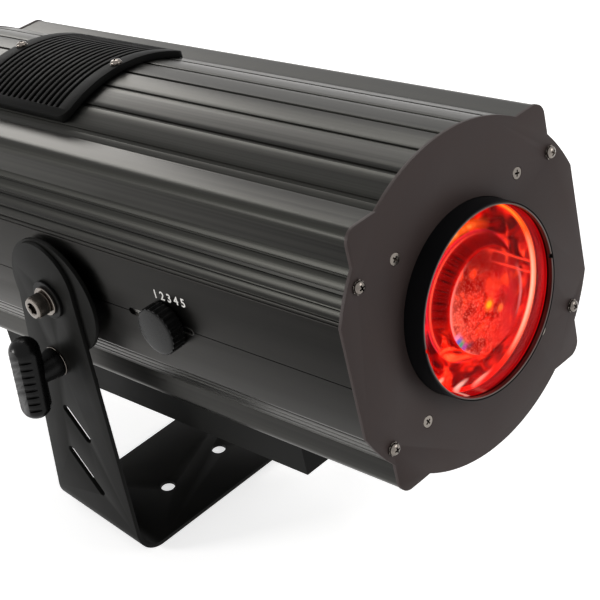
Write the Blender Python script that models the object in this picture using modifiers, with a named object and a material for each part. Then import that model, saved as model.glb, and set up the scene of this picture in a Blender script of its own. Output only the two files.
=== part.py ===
# Followspot: a grooved aluminium body with a focusing lens, hung in a bent steel bracket.
# Units are metres. The beam leaves along -Y, +Z is up, the clamp and the focus knob are on -X.
# The world's origin is on the underside of the bracket's base, straight below the tilt axis.
# Head pieces are placed from the middle of the front plate's face, in the head's own axes.
import math

import bmesh
import bpy
from mathutils import Matrix, Vector

# Clearances
GAP = 0.0003                  # left between pieces that touch or are bolted together
RUN = 0.0004                  # running clearance round shafts and in slots

# Head outline: two circles whose centres are dropped towards the middle, cut by flat sides,
# with a square lobe at each corner
ARC_RADIUS = 0.1130
ARC_DROP = 0.0060
FLAT_HALF_WIDTH = 0.1045
LOBE_HALF_WIDTH = 0.0873
LOBE_HALF_HEIGHT = 0.0885
LOBE_FILLET = 0.0090
LOBE_DRAFT = 0.0001           # the lobe's top edge falls this much towards the arc

# Housing
HOUSING_INSET = 0.0005        # housing lies this far inside the plates' outline
HOUSING_LENGTH = 0.4970
HOUSING_WALL = 0.0025
SEAM_HEIGHT = -0.0030         # height of the joint between the two half shells
GROOVE_DEPTH = 0.0010
TOP_GROOVE_WIDTH = 0.0022
TOP_GROOVE_PITCH = 0.0195     # along the arc
TOP_GROOVES_EACH_SIDE = 3
SHOULDER_GROOVE_WIDTH = 0.0016
SHOULDER_GROOVE_PITCH = 0.0095
SHOULDER_GROOVES = 3
SCREW_PORT_RADIUS = 0.0048

# Plates and their screws
PLATE_THICKNESS = 0.0025
OUTER_SCREW_X = 0.0863
OUTER_SCREW_Z = 0.0543
INNER_SCREW_HALF_PITCH = 0.0551
SCREW_RADIUS = 0.0020
SCREW_HEAD_RADIUS = 0.0039
SCREW_HEAD_HEIGHT = 0.0026
SCREW_LENGTH = 0.0120
TOOTHED_WASHER_RADIUS = 0.0045
TOOTHED_WASHER_THICKNESS = 0.0007
TOOTHED_WASHER_TEETH = 6

# Lens tube, front lens and its retaining ring
TUBE_RADIUS = 0.0600
TUBE_WALL = 0.0024
TUBE_PROJECTION = 0.0143
TUBE_DEPTH = 0.0550           # behind the plate's face
TUBE_SEAT_STEP = 0.0018
FLANGE_HALF_WIDTH = 0.0640
FLANGE_THICKNESS = 0.0040
FLANGE_CORNER = 0.0060
RING_WIDTH = 0.0020
RING_HEIGHT = 0.0030
RING_SETBACK = 0.0004
RING_NOTCH = 0.0030
LENS_EDGE = 0.0050
LENS_FRONT_BULGE = 0.0040
LENS_REAR_BULGE = 0.0110

# Bracket
TILT_AT_REST = math.radians(10.5)
TILT_UP_LIMIT = math.radians(30.0)
TILT_DOWN_LIMIT = math.radians(15.0)
PIVOT_FROM_FRONT = 0.2745
PIVOT_DROP = 0.0070           # tilt axis below the head's centre line
PIVOT_HEIGHT = 0.2120
BRACKET_THICKNESS = 0.0030
BRACKET_OUTER_HALF_WIDTH = 0.1155
BRACKET_BEND_RADIUS = 0.0200
BEND_STEPS = 4
BRACKET_BASE_FRONT = 0.0525   # base in front of the tilt axis, and behind it
BRACKET_BASE_REAR = 0.0395
BRACKET_HEAD_RADIUS = 0.0300
BRACKET_HEAD_RISE = 0.0110    # centre of the arm's round head above the tilt axis
BRACKET_HEAD_SETBACK = 0.0045
BASE_HOLE_RADIUS = 0.0055
BASE_HOLE_PITCH = 0.0540
BASE_HOLE_FORWARD = 0.0125
SLOT_WIDTH = 0.0075
SLOT_ANGLE = math.radians(43.0)
SLOT_FORWARD = 0.0020
UPPER_SLOT_LENGTH = 0.0330
UPPER_SLOT_DROP = 0.1100
LOWER_SLOT_LENGTH = 0.0440
LOWER_SLOT_DROP = 0.1550

# Tilt pivots
PIVOT_BOLT_RADIUS = 0.0050
PIVOT_HEAD_RADIUS = 0.0080
PIVOT_HEAD_HEIGHT = 0.0100
PIVOT_HEX_RADIUS = 0.0046
PIVOT_WASHER_RADIUS = 0.0105
PIVOT_WASHER_THICKNESS = 0.0018
PIVOT_PAD_RADIUS = 0.0140
PIVOT_PAD_THICKNESS = 0.0020
PIVOT_BLOCK_SIZE = 0.0280
PIVOT_BLOCK_THICKNESS = 0.0080

# Tilt quadrant and its clamp
QUADRANT_RADIUS = 0.0430
QUADRANT_THICKNESS = 0.0030
QUADRANT_LOBE_RADIUS = 0.0660
QUADRANT_END_MARGIN = math.radians(7.0)
SPACER_RADIUS = 0.0200
CLAMP_DROP = 0.0560
CLAMP_SETBACK = 0.0060        # clamp axis behind the tilt axis
CLAMP_STUD_RADIUS = 0.0040
CLAMP_BAR_RADIUS = 0.0108
CLAMP_BAR_LENGTH = 0.0660
CLAMP_BAR_OFFSET = 0.0240     # bar's axis from the arm's outer face
CLAMP_HUB_RADIUS = 0.0112
CLAMP_FLAT_DEPTH = 0.0014       # flat on the bar's outward side
CLAMP_RIBS = 8                # slots in each of the bar's two outer quarters
CLAMP_RIB_ANGLE = math.radians(52.0)    # from straight outward
CLAMP_RIB_PITCH = 0.0060
CLAMP_RIB_SLOT = 0.0026
CLAMP_RIB_DEPTH = 0.0014
CLAMP_RIB_WIDTH = 0.0085
CLAMP_RING_THICKNESS = 0.0010
CLAMP_NUT_HALF_SIZE = 0.0065
CLAMP_NUT_THICKNESS = 0.0040

# Vent cover on the top arc
VENT_FRONT = 0.2870
VENT_LENGTH = 0.1210
VENT_HALF_WIDTH = 0.0560
VENT_HEIGHT = 0.0050          # top face above the housing's arc
VENT_THICKNESS = 0.0018
VENT_BORDER_END = 0.0105
VENT_BORDER_SIDE = 0.0060
VENT_SLITS = 16
VENT_SLIT_SHARE = 0.55
VENT_CORNER = 0.0080
VENT_OPENING_MARGIN = 0.0090
VENT_STEPS = 6

# Focus carriage, knob and slot
KNOB_FROM_FRONT = 0.1620
KNOB_RADIUS = 0.0165
KNOB_LENGTH = 0.0120
KNOB_RIDGES = 24
KNOB_RIDGE_DEPTH = 0.0007
KNOB_DOME = 0.0008
FOCUS_SLOT_FRONT = 0.1380
FOCUS_SLOT_LENGTH = 0.0630
FOCUS_SLOT_WIDTH = 0.0050
FOCUS_STUD_RADIUS = 0.0020
STRIP_HALF_HEIGHT = 0.0065
STRIP_THICKNESS = 0.0008
ROD_RADIUS = 0.0030
ROD_OFFSET = 0.0380
CARRIAGE_RADIUS = 0.0400
CARRIAGE_LENGTH = 0.0140
CARRIAGE_LENS_RADIUS = 0.0330
CARRIAGE_LENS_EDGE = 0.0030
CARRIAGE_LENS_BULGE = 0.0060
CARRIAGE_EAR_RADIUS = 0.0080
LUG_HEIGHT = 0.0120

# Inner tray and light engine
TRAY_HALF_WIDTH = 0.0600
TRAY_HEIGHT = -0.0720
TRAY_THICKNESS = 0.0015
TRAY_FRONT = 0.0640
TRAY_LENGTH = 0.3400
ROD_PLATE_FRONT = 0.0660
ROD_PLATE_BORE = 0.0420
INNER_PLATE_THICKNESS = 0.0025
INNER_PLATE_HALF_WIDTH = 0.0700
INNER_PLATE_TOP = 0.0560
GATE_FRONT = 0.2520
GATE_RADIUS = 0.0130
WHEEL_OFFSET = 0.0380         # wheel's axis beside the beam, and its filters' pitch radius
WHEEL_MARGIN = 0.0020
WHEEL_THICKNESS = 0.0020
WHEEL_HUB_RADIUS = 0.0080
WHEEL_SHAFT_RADIUS = 0.0022
FILTERS = 7
FILTER_RADIUS = 0.0118
MOTOR_RADIUS = 0.0140
MOTOR_LENGTH = 0.0180
CONDENSER_RADIUS = 0.0290
CONDENSER_WALL = 0.0020
CONDENSER_LENGTH = 0.0360
CONDENSER_SEAT_DEPTH = 0.0110   # seat below the tube's top
CONDENSER_LIP = 0.0020
CONDENSER_FLANGE = 0.0040
CONDENSER_EDGE = 0.0030
CONDENSER_FRONT_BULGE = 0.0060
CONDENSER_REAR_BULGE = 0.0040
SINK_FRONT = 0.3000
SINK_HALF_WIDTH = 0.0550
SINK_TOP = 0.0500
SINK_BASE = 0.0080
SINK_DEPTH = 0.0700
SINK_FINS = 12
SINK_FIN_THICKNESS = 0.0022
BOARD_HALF_WIDTH = 0.0230
BOARD_THICKNESS = 0.0016
EMITTER_RADIUS = 0.0110
EMITTER_HEIGHT = 0.0020
FAN_HALF_WIDTH = 0.0460
FAN_DEPTH = 0.0250
FAN_BORE = 0.0430
FAN_HUB_RADIUS = 0.0160
FAN_STRUT = 0.0040
FAN_BLADES = 7

# Driver box below the body
BOX_FRONT = 0.1086
BOX_LENGTH = 0.3300
BOX_HALF_WIDTH = 0.0680
BOX_BOTTOM = -0.1253
BOX_WALL = 0.0015
CABLE_HOLE_RADIUS = 0.0080      # from the body down into the box
CABLE_HOLE_BACK = 0.0400        # behind the box's front
DRIVER_HALF_WIDTH = 0.0480
DRIVER_LENGTH = 0.2000

# Rear plate: controls, sockets and handle
DISPLAY_HALF_WIDTH = 0.0300
DISPLAY_HALF_HEIGHT = 0.0110
DISPLAY_HEIGHT = 0.0330
BUTTONS = 4
BUTTON_PITCH = 0.0180
BUTTON_HEIGHT = 0.0060
BUTTON_RADIUS = 0.0042
BUTTON_TRAVEL = 0.0015
BUTTON_PROUD = 0.0030
BUTTON_FLANGE = 0.0012
SOCKET_HEIGHT = -0.0450
INLET_X = -0.0520
INLET_HALF_WIDTH = 0.0140
INLET_HALF_HEIGHT = 0.0100
INLET_DEPTH = 0.0180
INLET_LIP = 0.0020
SWITCH_X = -0.0140
SWITCH_HALF_WIDTH = 0.0070
SWITCH_HALF_HEIGHT = 0.0105
SWITCH_DEPTH = 0.0140
ROCKER_TILT = math.radians(9.0)
SIGNAL_X = 0.0250
SIGNAL_PITCH = 0.0350
SIGNAL_RADIUS = 0.0110
SIGNAL_DEPTH = 0.0180
HANDLE_HALF_WIDTH = 0.0500
HANDLE_HEIGHT = 0.0720
HANDLE_REACH = 0.0420
HANDLE_RADIUS = 0.0060
HANDLE_FOOT_RADIUS = 0.0100
HANDLE_FOOT_HEIGHT = 0.0040

ROUND = 36                    # sides of the largest round pieces

# Worked out from the sizes above
SHELL_RADIUS = ARC_RADIUS - HOUSING_INSET
SHELL_SIDE = FLAT_HALF_WIDTH - HOUSING_INSET
SHELL_INSIDE = SHELL_SIDE - HOUSING_WALL
SHELL_FRONT = PLATE_THICKNESS + GAP
SHELL_REAR = SHELL_FRONT + HOUSING_LENGTH
REAR_PLATE_FRONT = SHELL_REAR + GAP
REAR_FACE = REAR_PLATE_FRONT + PLATE_THICKNESS
ARM_INSIDE = BRACKET_OUTER_HALF_WIDTH - BRACKET_THICKNESS
QUADRANT_INSIDE = ARM_INSIDE - GAP - QUADRANT_THICKNESS
GATE_REAR = GATE_FRONT + INNER_PLATE_THICKNESS
CLAMP_RADIUS = math.hypot(CLAMP_DROP, CLAMP_SETBACK)
CLAMP_ANGLE = math.atan2(CLAMP_SETBACK, CLAMP_DROP)
TRAY_FEET = ARC_DROP - math.sqrt((SHELL_RADIUS - HOUSING_WALL) ** 2 - TRAY_HALF_WIDTH ** 2) + GAP

# How a piece built about its own Z axis is turned to lie along another one
ALONG = {
    "+Z": (0.0, 0.0, 0.0),
    "+Y": (-math.pi / 2, 0.0, 0.0),
    "-Y": (math.pi / 2, 0.0, 0.0),
    "+X": (0.0, math.pi / 2, 0.0),
    "-X": (0.0, -math.pi / 2, 0.0),
}
# How an outline drawn in XY is stood up: seen from the front, or from the side
FRONT_VIEW = (math.pi / 2, 0.0, 0.0)
SIDE_VIEW = (math.pi / 2, 0.0, math.pi / 2)

for old in list(bpy.data.objects):
    bpy.data.objects.remove(old, do_unlink=True)
parts = bpy.data.collections.new("followspot")
cutters = bpy.data.collections.new("cutters")
bpy.context.scene.collection.children.link(parts)
bpy.context.scene.collection.children.link(cutters)


def frame(name, parent, place, turn=(0.0, 0.0, 0.0)):
    """An empty that carries one moving body or the head's axes."""
    empty = bpy.data.objects.new(name, None)
    parts.objects.link(empty)
    empty.parent = parent
    empty.location = place
    empty.rotation_euler = turn
    return empty


bracket_frame = frame("bracket_frame", None, (0, 0, 0))
head_pivot = frame("head_pivot", bracket_frame, (0, 0, PIVOT_HEIGHT), (-TILT_AT_REST, 0, 0))
head = frame("head_frame", head_pivot, (0, -PIVOT_FROM_FRONT, PIVOT_DROP))


def material(name, colour, roughness, metallic=0.0, transmission=0.0):
    """A plain Principled surface, made once."""
    if name in bpy.data.materials:
        return bpy.data.materials[name]
    made = bpy.data.materials.new(name)
    made.use_nodes = True
    shader = made.node_tree.nodes["Principled BSDF"]
    shader.inputs["Base Color"].default_value = (*colour, 1.0)
    shader.inputs["Roughness"].default_value = roughness
    shader.inputs["Metallic"].default_value = metallic
    shader.inputs["Transmission Weight"].default_value = transmission
    return made


anodised = material("black_anodised", (0.045, 0.044, 0.043), 0.42, 0.8)
powder = material("black_powder_coat", (0.042, 0.038, 0.037), 0.55)
steel_black = material("black_steel", (0.035, 0.035, 0.034), 0.5, 0.3)
zinc = material("zinc_plate", (0.62, 0.6, 0.57), 0.25, 1.0)
plastic = material("black_plastic", (0.012, 0.012, 0.012), 0.35)
nylon = material("dark_nylon", (0.02, 0.02, 0.02), 0.6)
glass = material("clear_glass", (0.95, 0.97, 0.96), 0.03, 0.0, 1.0)
aluminium = material("bare_aluminium", (0.7, 0.7, 0.69), 0.35, 1.0)
board_green = material("circuit_board", (0.02, 0.12, 0.05), 0.5)


def place(obj, name, surface, parent, where, turn, cutter=False):
    """Name, colour, parent and position one object."""
    obj.name = name
    obj.data.name = name
    if surface:
        obj.data.materials.append(surface)
    obj.parent = parent
    obj.location = where
    obj.rotation_euler = turn
    if cutter:
        obj.hide_render = True
        obj.display_type = "WIRE"
    return obj


def from_bmesh(bm, name, surface, parent, where, turn, cutter):
    mesh = bpy.data.meshes.new(name)
    bm.to_mesh(mesh)
    bm.free()
    obj = bpy.data.objects.new(name, mesh)
    (cutters if cutter else parts).objects.link(obj)
    return place(obj, name, surface, parent, where, turn, cutter)


def block(name, size, where, surface=None, parent=head, turn=(0, 0, 0), cutter=False):
    """A box of the given size, centred on where."""
    bm = bmesh.new()
    bmesh.ops.create_cube(bm, size=1.0)
    bmesh.ops.scale(bm, vec=size, verts=bm.verts)
    return from_bmesh(bm, name, surface, parent, where, turn, cutter)


def rod(name, radius, length, start, axis, surface=None, parent=head, sides=24, cutter=False):
    """A cylinder that runs from start along the named axis."""
    bm = bmesh.new()
    bmesh.ops.create_cone(bm, cap_ends=True, segments=sides, radius1=radius, radius2=radius,
                          depth=length)
    bmesh.ops.translate(bm, vec=(0, 0, length / 2), verts=bm.verts)
    obj = from_bmesh(bm, name, surface, parent, start, ALONG[axis], cutter)
    smooth(obj)
    return obj


def smooth(obj):
    obj.data.shade_smooth()
    obj.data.set_sharp_from_angle(angle=math.radians(32))


def turned(name, profile, start, axis, surface=None, parent=head, sides=48, cutter=False):
    """A turned piece. The profile is (radius, height) pairs, down the outer side first."""
    mesh = bpy.data.meshes.new(name)
    points = [(radius, 0.0, height) for radius, height in profile]
    closed = profile[0][0] > 0 or profile[-1][0] > 0
    edges = [(i, i + 1) for i in range(len(points) - 1)]
    if closed:
        edges.append((len(points) - 1, 0))
    mesh.from_pydata(points, edges, [])
    obj = bpy.data.objects.new(name, mesh)
    (cutters if cutter else parts).objects.link(obj)
    place(obj, name, surface, parent, start, ALONG[axis], cutter)
    screw = obj.modifiers.new("turn", "SCREW")
    screw.steps = sides
    screw.render_steps = sides
    screw.use_merge_vertices = True
    screw.merge_threshold = 0.000001
    screw.use_smooth_shade = False
    return obj


def extruded(name, outlines, depth, where, turn, surface=None, parent=head, cutter=False):
    """A flat outline, with any holes, given thickness. Returns a closed mesh object."""
    curve = bpy.data.curves.new(name, "CURVE")
    curve.dimensions = "2D"
    curve.fill_mode = "BOTH"
    curve.extrude = depth / 2
    for outline in outlines:
        spline = curve.splines.new("POLY")
        spline.points.add(len(outline) - 1)
        for point, (x, y) in zip(spline.points, outline):
            point.co = (x, y, 0.0, 1.0)
        spline.use_cyclic_u = True
    flat = bpy.data.objects.new(name + "_outline", curve)
    bpy.context.scene.collection.objects.link(flat)
    evaluated = flat.evaluated_get(bpy.context.evaluated_depsgraph_get())
    bm = bmesh.new()
    bm.from_mesh(bpy.data.meshes.new_from_object(evaluated))
    bmesh.ops.remove_doubles(bm, verts=bm.verts, dist=0.000001)
    bmesh.ops.dissolve_degenerate(bm, dist=0.000001, edges=bm.edges)
    bmesh.ops.recalc_face_normals(bm, faces=bm.faces)
    bpy.data.objects.remove(flat, do_unlink=True)
    return from_bmesh(bm, name, surface, parent, where, turn, cutter)


def boolean(target, other, operation="DIFFERENCE"):
    step = target.modifiers.new(operation.lower(), "BOOLEAN")
    step.operation = operation
    step.object = other
    return target


def ring_points(radius, centre=(0.0, 0.0), sides=32, start=0.0, sweep=2 * math.pi):
    """Points round a circle, or along an arc with both ends, anticlockwise."""
    count = sides if sweep >= 2 * math.pi - 1e-9 else sides + 1
    return [(centre[0] + radius * math.cos(start + sweep * i / sides),
             centre[1] + radius * math.sin(start + sweep * i / sides)) for i in range(count)]


def rounded_rectangle(half_width, half_height, radius, steps=4):
    corners = [(1, 1, 0.0), (-1, 1, 0.5), (-1, -1, 1.0), (1, -1, 1.5)]
    outline = []
    for sx, sy, quarter in corners:
        centre = (sx * (half_width - radius), sy * (half_height - radius))
        outline += ring_points(radius, centre, steps, quarter * math.pi, math.pi / 2)
    return outline


def rectangle(half_width, half_height, centre=(0.0, 0.0)):
    return [(centre[0] + sx * half_width, centre[1] + sy * half_height)
            for sx, sy in ((1, 1), (-1, 1), (-1, -1), (1, -1))]


def groove(radius, angle, width, depth):
    """Four points of a flat-bottomed groove in an arc; angles are from straight up."""
    half = width / 2 / radius
    return [(radius, angle - half), (radius - depth, angle - half),
            (radius - depth, angle + half), (radius, angle + half)]


def quarter_outline(inset=0.0, grooved=False, ports=False):
    """Upper right quarter of the head's outline, from the top down to the flat side."""
    radius = ARC_RADIUS - inset
    lobe_x = LOBE_HALF_WIDTH - inset
    lobe_z = LOBE_HALF_HEIGHT - inset
    fillet = max(LOBE_FILLET - inset, 0.002)
    flat = FLAT_HALF_WIDTH - inset
    top_end = math.acos((lobe_z - LOBE_DRAFT + ARC_DROP) / radius)
    shoulder_start = math.asin(lobe_x / radius)
    shoulder_end = math.asin(flat / radius)
    polar = [(radius, top_end * i / 6) for i in range(7)]
    if grooved:
        step = TOP_GROOVE_PITCH / radius
        half = TOP_GROOVE_WIDTH / 2 / radius
        polar = [(radius - GROOVE_DEPTH, 0.0), (radius - GROOVE_DEPTH, half), (radius, half)]
        for k in range(1, TOP_GROOVES_EACH_SIDE + 1):
            if k * step + 2 * half < top_end:
                polar.append((radius, (k - 0.5) * step))
                polar += groove(radius, k * step, TOP_GROOVE_WIDTH, GROOVE_DEPTH)
        polar.append((radius, top_end))
    points = [(r * math.sin(a), r * math.cos(a) - ARC_DROP) for r, a in polar]
    points += [(lobe_x - fillet + fillet * math.sin(a), lobe_z - fillet + fillet * math.cos(a))
               for a in (math.pi / 2 * i / 4 for i in range(5))]
    polar = [(radius, shoulder_start)]
    if grooved:
        first = (shoulder_start + shoulder_end - SHOULDER_GROOVE_PITCH / radius * (SHOULDER_GROOVES - 1)) / 2
        for k in range(SHOULDER_GROOVES):
            angle = first + k * SHOULDER_GROOVE_PITCH / radius
            polar += groove(radius, angle, SHOULDER_GROOVE_WIDTH, GROOVE_DEPTH)
    else:
        polar += [(radius, shoulder_start + (shoulder_end - shoulder_start) * i / 3) for i in range(1, 3)]
    polar.append((radius, shoulder_end))
    shoulder = [(r * math.sin(a), r * math.cos(a) - ARC_DROP) for r, a in polar]
    if ports:
        shoulder = around_port(shoulder)
    return points + shoulder


def around_port(shoulder):
    """Carry the inner wall round the port that the plate screws go into."""
    port = Vector((OUTER_SCREW_X, OUTER_SCREW_Z))
    reach = SCREW_PORT_RADIUS
    clear = [p for p in shoulder if (Vector(p) - port).length > reach * 1.05]
    upper = [p for p in clear if p[1] > port.y]
    lower = [p for p in clear if p[1] <= port.y]
    inward = math.atan2(-port.y, -port.x)
    bulge = ring_points(reach, port, 5, inward + math.radians(80), -math.radians(160))
    bulge.sort(key=lambda p: -math.atan2(p[1] + ARC_DROP, p[0]))
    return upper + bulge + lower


def whole_outline(inset=0.0):
    """The closed outline of a plate."""
    quarter = quarter_outline(inset)
    right = quarter + [(x, -z) for x, z in reversed(quarter)]
    return right + [(-x, z) for x, z in reversed(right)][1:-1]


def half_shell_outline(sign):
    """Closed section of one half shell; sign is +1 for the upper one."""
    outer = quarter_outline(HOUSING_INSET, grooved=True)
    inner = quarter_outline(HOUSING_INSET + HOUSING_WALL, ports=True)
    edge = sign * SEAM_HEIGHT + GAP
    outer.append((SHELL_SIDE, edge))
    inner.append((SHELL_INSIDE, edge))
    right = outer
    left = [(-x, z) for x, z in reversed(outer)][:-1]
    inner_left = [(-x, z) for x, z in inner]
    inner_left.reverse()
    inner_path = inner[::-1] + [(-x, z) for x, z in inner[1:]]
    path = left + right + inner_path
    return [(x, sign * z) for x, z in path]


def lens_profile(radius, edge, front, rear, steps=6):
    """Half section of a lens, front surface at the top. Height 0 is the edge's front."""
    def cap(bulge, sign, base):
        return [(radius * math.sin(math.pi / 2 * i / steps),
                 base + sign * bulge * (1 - math.sin(math.pi / 2 * i / steps) ** 2))
                for i in range(steps + 1)]
    return cap(front, 1, 0.0) + cap(rear, -1, -edge)[::-1]


def sag(radius, bulge, seat_radius):
    """How far a lens surface stands behind its edge where it meets a seat."""
    return bulge * (1 - (seat_radius / radius) ** 2)


def pan_screw(name, x, z):
    """Pan-head screw through the front plate, with its toothed washer held under the head."""
    under = GAP + TOOTHED_WASHER_THICKNESS
    top = under + SCREW_HEAD_HEIGHT
    profile = [(0, top), (SCREW_HEAD_RADIUS * 0.6, top - 0.0002), (SCREW_HEAD_RADIUS * 0.92, top - 0.0010),
               (SCREW_HEAD_RADIUS, under), (SCREW_RADIUS, under - 0.0002), (SCREW_RADIUS, -SCREW_LENGTH),
               (0, -SCREW_LENGTH)]
    screw = turned(name, profile, (x, 0, z), "-Y", zinc, sides=8)
    outline = []
    for i in range(TOOTHED_WASHER_TEETH * 2):
        radius = TOOTHED_WASHER_RADIUS if i % 2 else TOOTHED_WASHER_RADIUS * 0.86
        angle = math.pi * i / TOOTHED_WASHER_TEETH
        outline.append((radius * math.cos(angle), radius * math.sin(angle)))
    washer = extruded(name + "_washer", [outline], TOOTHED_WASHER_THICKNESS,
                      (x, -TOOTHED_WASHER_THICKNESS / 2 - GAP, z), FRONT_VIEW, None, head, True)
    return boolean(screw, washer, "UNION")


def countersunk_profile(extra=0.0, reach=SCREW_LENGTH):
    sink = SCREW_HEAD_RADIUS - SCREW_RADIUS
    return [(0, extra), (SCREW_HEAD_RADIUS + extra, extra), (SCREW_RADIUS + extra, -sink),
            (SCREW_RADIUS + extra, -reach), (0, -reach)]


def screw_places(half_x, half_z):
    return [(-half_x, half_z), (half_x, half_z), (-half_x, -half_z), (half_x, -half_z)]


def tangent_angle(centre, radius, point, side):
    """Where a line from the point touches the circle, as an angle about its centre."""
    across = point[0] - centre[0]
    along = point[1] - centre[1]
    return math.atan2(along, across) + side * math.acos(radius / math.hypot(across, along))


def build_bracket():
    """A steel strap bent into a U, its arms cut to a taper with round heads."""
    parent = bracket_frame
    outer = BRACKET_OUTER_HALF_WIDTH
    thick = BRACKET_THICKNESS
    top = PIVOT_HEIGHT + BRACKET_HEAD_RISE + BRACKET_HEAD_RADIUS + 0.010
    bend = BRACKET_BEND_RADIUS
    left_bend = ring_points(bend, (-outer + bend, bend), BEND_STEPS, math.pi, math.pi / 2)
    right_bend = ring_points(bend, (outer - bend, bend), BEND_STEPS, 1.5 * math.pi, math.pi / 2)
    inner_right = ring_points(bend - thick, (outer - bend, bend), BEND_STEPS, 2 * math.pi, -math.pi / 2)
    inner_left = ring_points(bend - thick, (-outer + bend, bend), BEND_STEPS, 1.5 * math.pi, -math.pi / 2)
    strap = [(-outer, top)] + left_bend + right_bend + [(outer, top), (outer - thick, top)]
    strap += inner_right + inner_left + [(-outer + thick, top)]
    bracket = extruded("yoke_bracket", [strap], 4 * (BRACKET_BASE_FRONT + BRACKET_BASE_REAR),
                       (0, 0, 0), FRONT_VIEW, steel_black, parent)
    centre = (BRACKET_HEAD_SETBACK, PIVOT_HEIGHT + BRACKET_HEAD_RISE)
    front = -BRACKET_BASE_FRONT
    rear = BRACKET_BASE_REAR
    rear_angle = tangent_angle(centre, BRACKET_HEAD_RADIUS, (rear, 0), 1)
    front_angle = tangent_angle(centre, BRACKET_HEAD_RADIUS, (front, 0), -1) + 2 * math.pi
    side = [(rear, -0.001), (rear, 0)]
    side += ring_points(BRACKET_HEAD_RADIUS, centre, 12, rear_angle, front_angle - rear_angle)
    side += [(front, 0), (front, -0.001)]
    blank = extruded("arm_outline", [side], 2.2 * outer, (0, 0, 0), SIDE_VIEW, None, parent, True)
    boolean(bracket, blank, "INTERSECT")
    axle = rod("pivot_holes", PIVOT_BOLT_RADIUS + RUN, 2.2 * outer, (-1.1 * outer, 0, PIVOT_HEIGHT),
               "+X", None, parent, 14, True)
    boolean(bracket, axle)
    clamp = rod("clamp_hole", CLAMP_STUD_RADIUS + RUN, 2 * thick, (-outer + 1.5 * thick, CLAMP_SETBACK,
                PIVOT_HEIGHT - CLAMP_DROP), "-X", None, parent, 14, True)
    boolean(bracket, clamp)
    for name, length, drop in (("upper_slot", UPPER_SLOT_LENGTH, UPPER_SLOT_DROP),
                               ("lower_slot", LOWER_SLOT_LENGTH, LOWER_SLOT_DROP)):
        stadium = rounded_rectangle(length / 2, SLOT_WIDTH / 2, SLOT_WIDTH / 2 * 0.999, 3)
        turned_by = Matrix.Rotation(SLOT_ANGLE, 2)
        stadium = [tuple(turned_by @ Vector(p)) for p in stadium]
        boolean(bracket, extruded(name, [stadium], 2.2 * outer, (0, -SLOT_FORWARD, PIVOT_HEIGHT - drop),
                                  SIDE_VIEW, None, parent, True))
    for i in (-1, 0, 1):
        hole = rod("base_hole_%d" % (i + 2), BASE_HOLE_RADIUS, 3 * thick, (i * BASE_HOLE_PITCH, -BASE_HOLE_FORWARD, -thick),
                   "+Z", None, parent, 14, True)
        boolean(bracket, hole)


def build_pivots():
    """Bolt, washers, spacer and inner block of the tilt axis on each side."""
    y = PIVOT_FROM_FRONT
    z = -PIVOT_DROP
    for side, sign, axis in (("left", -1, "-X"), ("right", 1, "+X")):
        pad = BRACKET_OUTER_HALF_WIDTH + GAP
        washer = pad + PIVOT_PAD_THICKNESS + GAP
        head_seat = washer + PIVOT_WASHER_THICKNESS + GAP
        bore = PIVOT_BOLT_RADIUS + RUN
        turned("pivot_pad_" + side, [(bore, PIVOT_PAD_THICKNESS), (PIVOT_PAD_RADIUS, PIVOT_PAD_THICKNESS),
               (PIVOT_PAD_RADIUS, 0), (bore, 0)], (sign * pad, y, z), axis, nylon, sides=16)
        turned("pivot_washer_" + side, [(bore, PIVOT_WASHER_THICKNESS),
               (PIVOT_WASHER_RADIUS, PIVOT_WASHER_THICKNESS), (PIVOT_WASHER_RADIUS, 0), (bore, 0)],
               (sign * washer, y, z), axis, zinc, sides=14)
        inner_end = SHELL_INSIDE - GAP - PIVOT_BLOCK_THICKNESS
        shank = head_seat - inner_end
        top = PIVOT_HEAD_HEIGHT
        chamfer = PIVOT_HEAD_RADIUS * 0.1
        bolt = turned("pivot_bolt_" + side, [(0, top), (PIVOT_HEAD_RADIUS - chamfer, top),
                      (PIVOT_HEAD_RADIUS, top - chamfer), (PIVOT_HEAD_RADIUS, 0), (PIVOT_BOLT_RADIUS, 0),
                      (PIVOT_BOLT_RADIUS, -shank), (0, -shank)],
                      (sign * head_seat, y, z), axis, zinc, sides=14)
        hexagon = rod("hex_socket_" + side, PIVOT_HEX_RADIUS, top, (sign * (head_seat + top * 0.45), y, z),
                      axis, None, head, 6, True)
        boolean(bolt, hexagon)
        block_x = sign * (SHELL_INSIDE - GAP - PIVOT_BLOCK_THICKNESS / 2)
        inner = block("pivot_block_" + side, (PIVOT_BLOCK_THICKNESS, PIVOT_BLOCK_SIZE, PIVOT_BLOCK_SIZE),
                      (block_x, y, z), zinc)
        boolean(inner, rod("block_bore_" + side, PIVOT_BOLT_RADIUS + GAP, 3 * PIVOT_BLOCK_THICKNESS,
                (sign * (SHELL_INSIDE - 2 * PIVOT_BLOCK_THICKNESS), y, z), axis, None, head, 14, True))
    outer = ARM_INSIDE - GAP
    inner = SHELL_SIDE + GAP
    bore = PIVOT_BOLT_RADIUS + RUN
    spacer_left = QUADRANT_INSIDE - GAP - inner
    turned("pivot_spacer_left", [(bore, spacer_left), (SPACER_RADIUS, spacer_left), (SPACER_RADIUS, 0),
           (bore, 0)], (-inner, y, z), "-X", nylon, sides=16)
    turned("pivot_spacer_right", [(bore, outer - inner), (QUADRANT_RADIUS, outer - inner),
           (QUADRANT_RADIUS, 0), (bore, 0)], (inner, y, z), "+X", nylon, sides=24)


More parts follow.
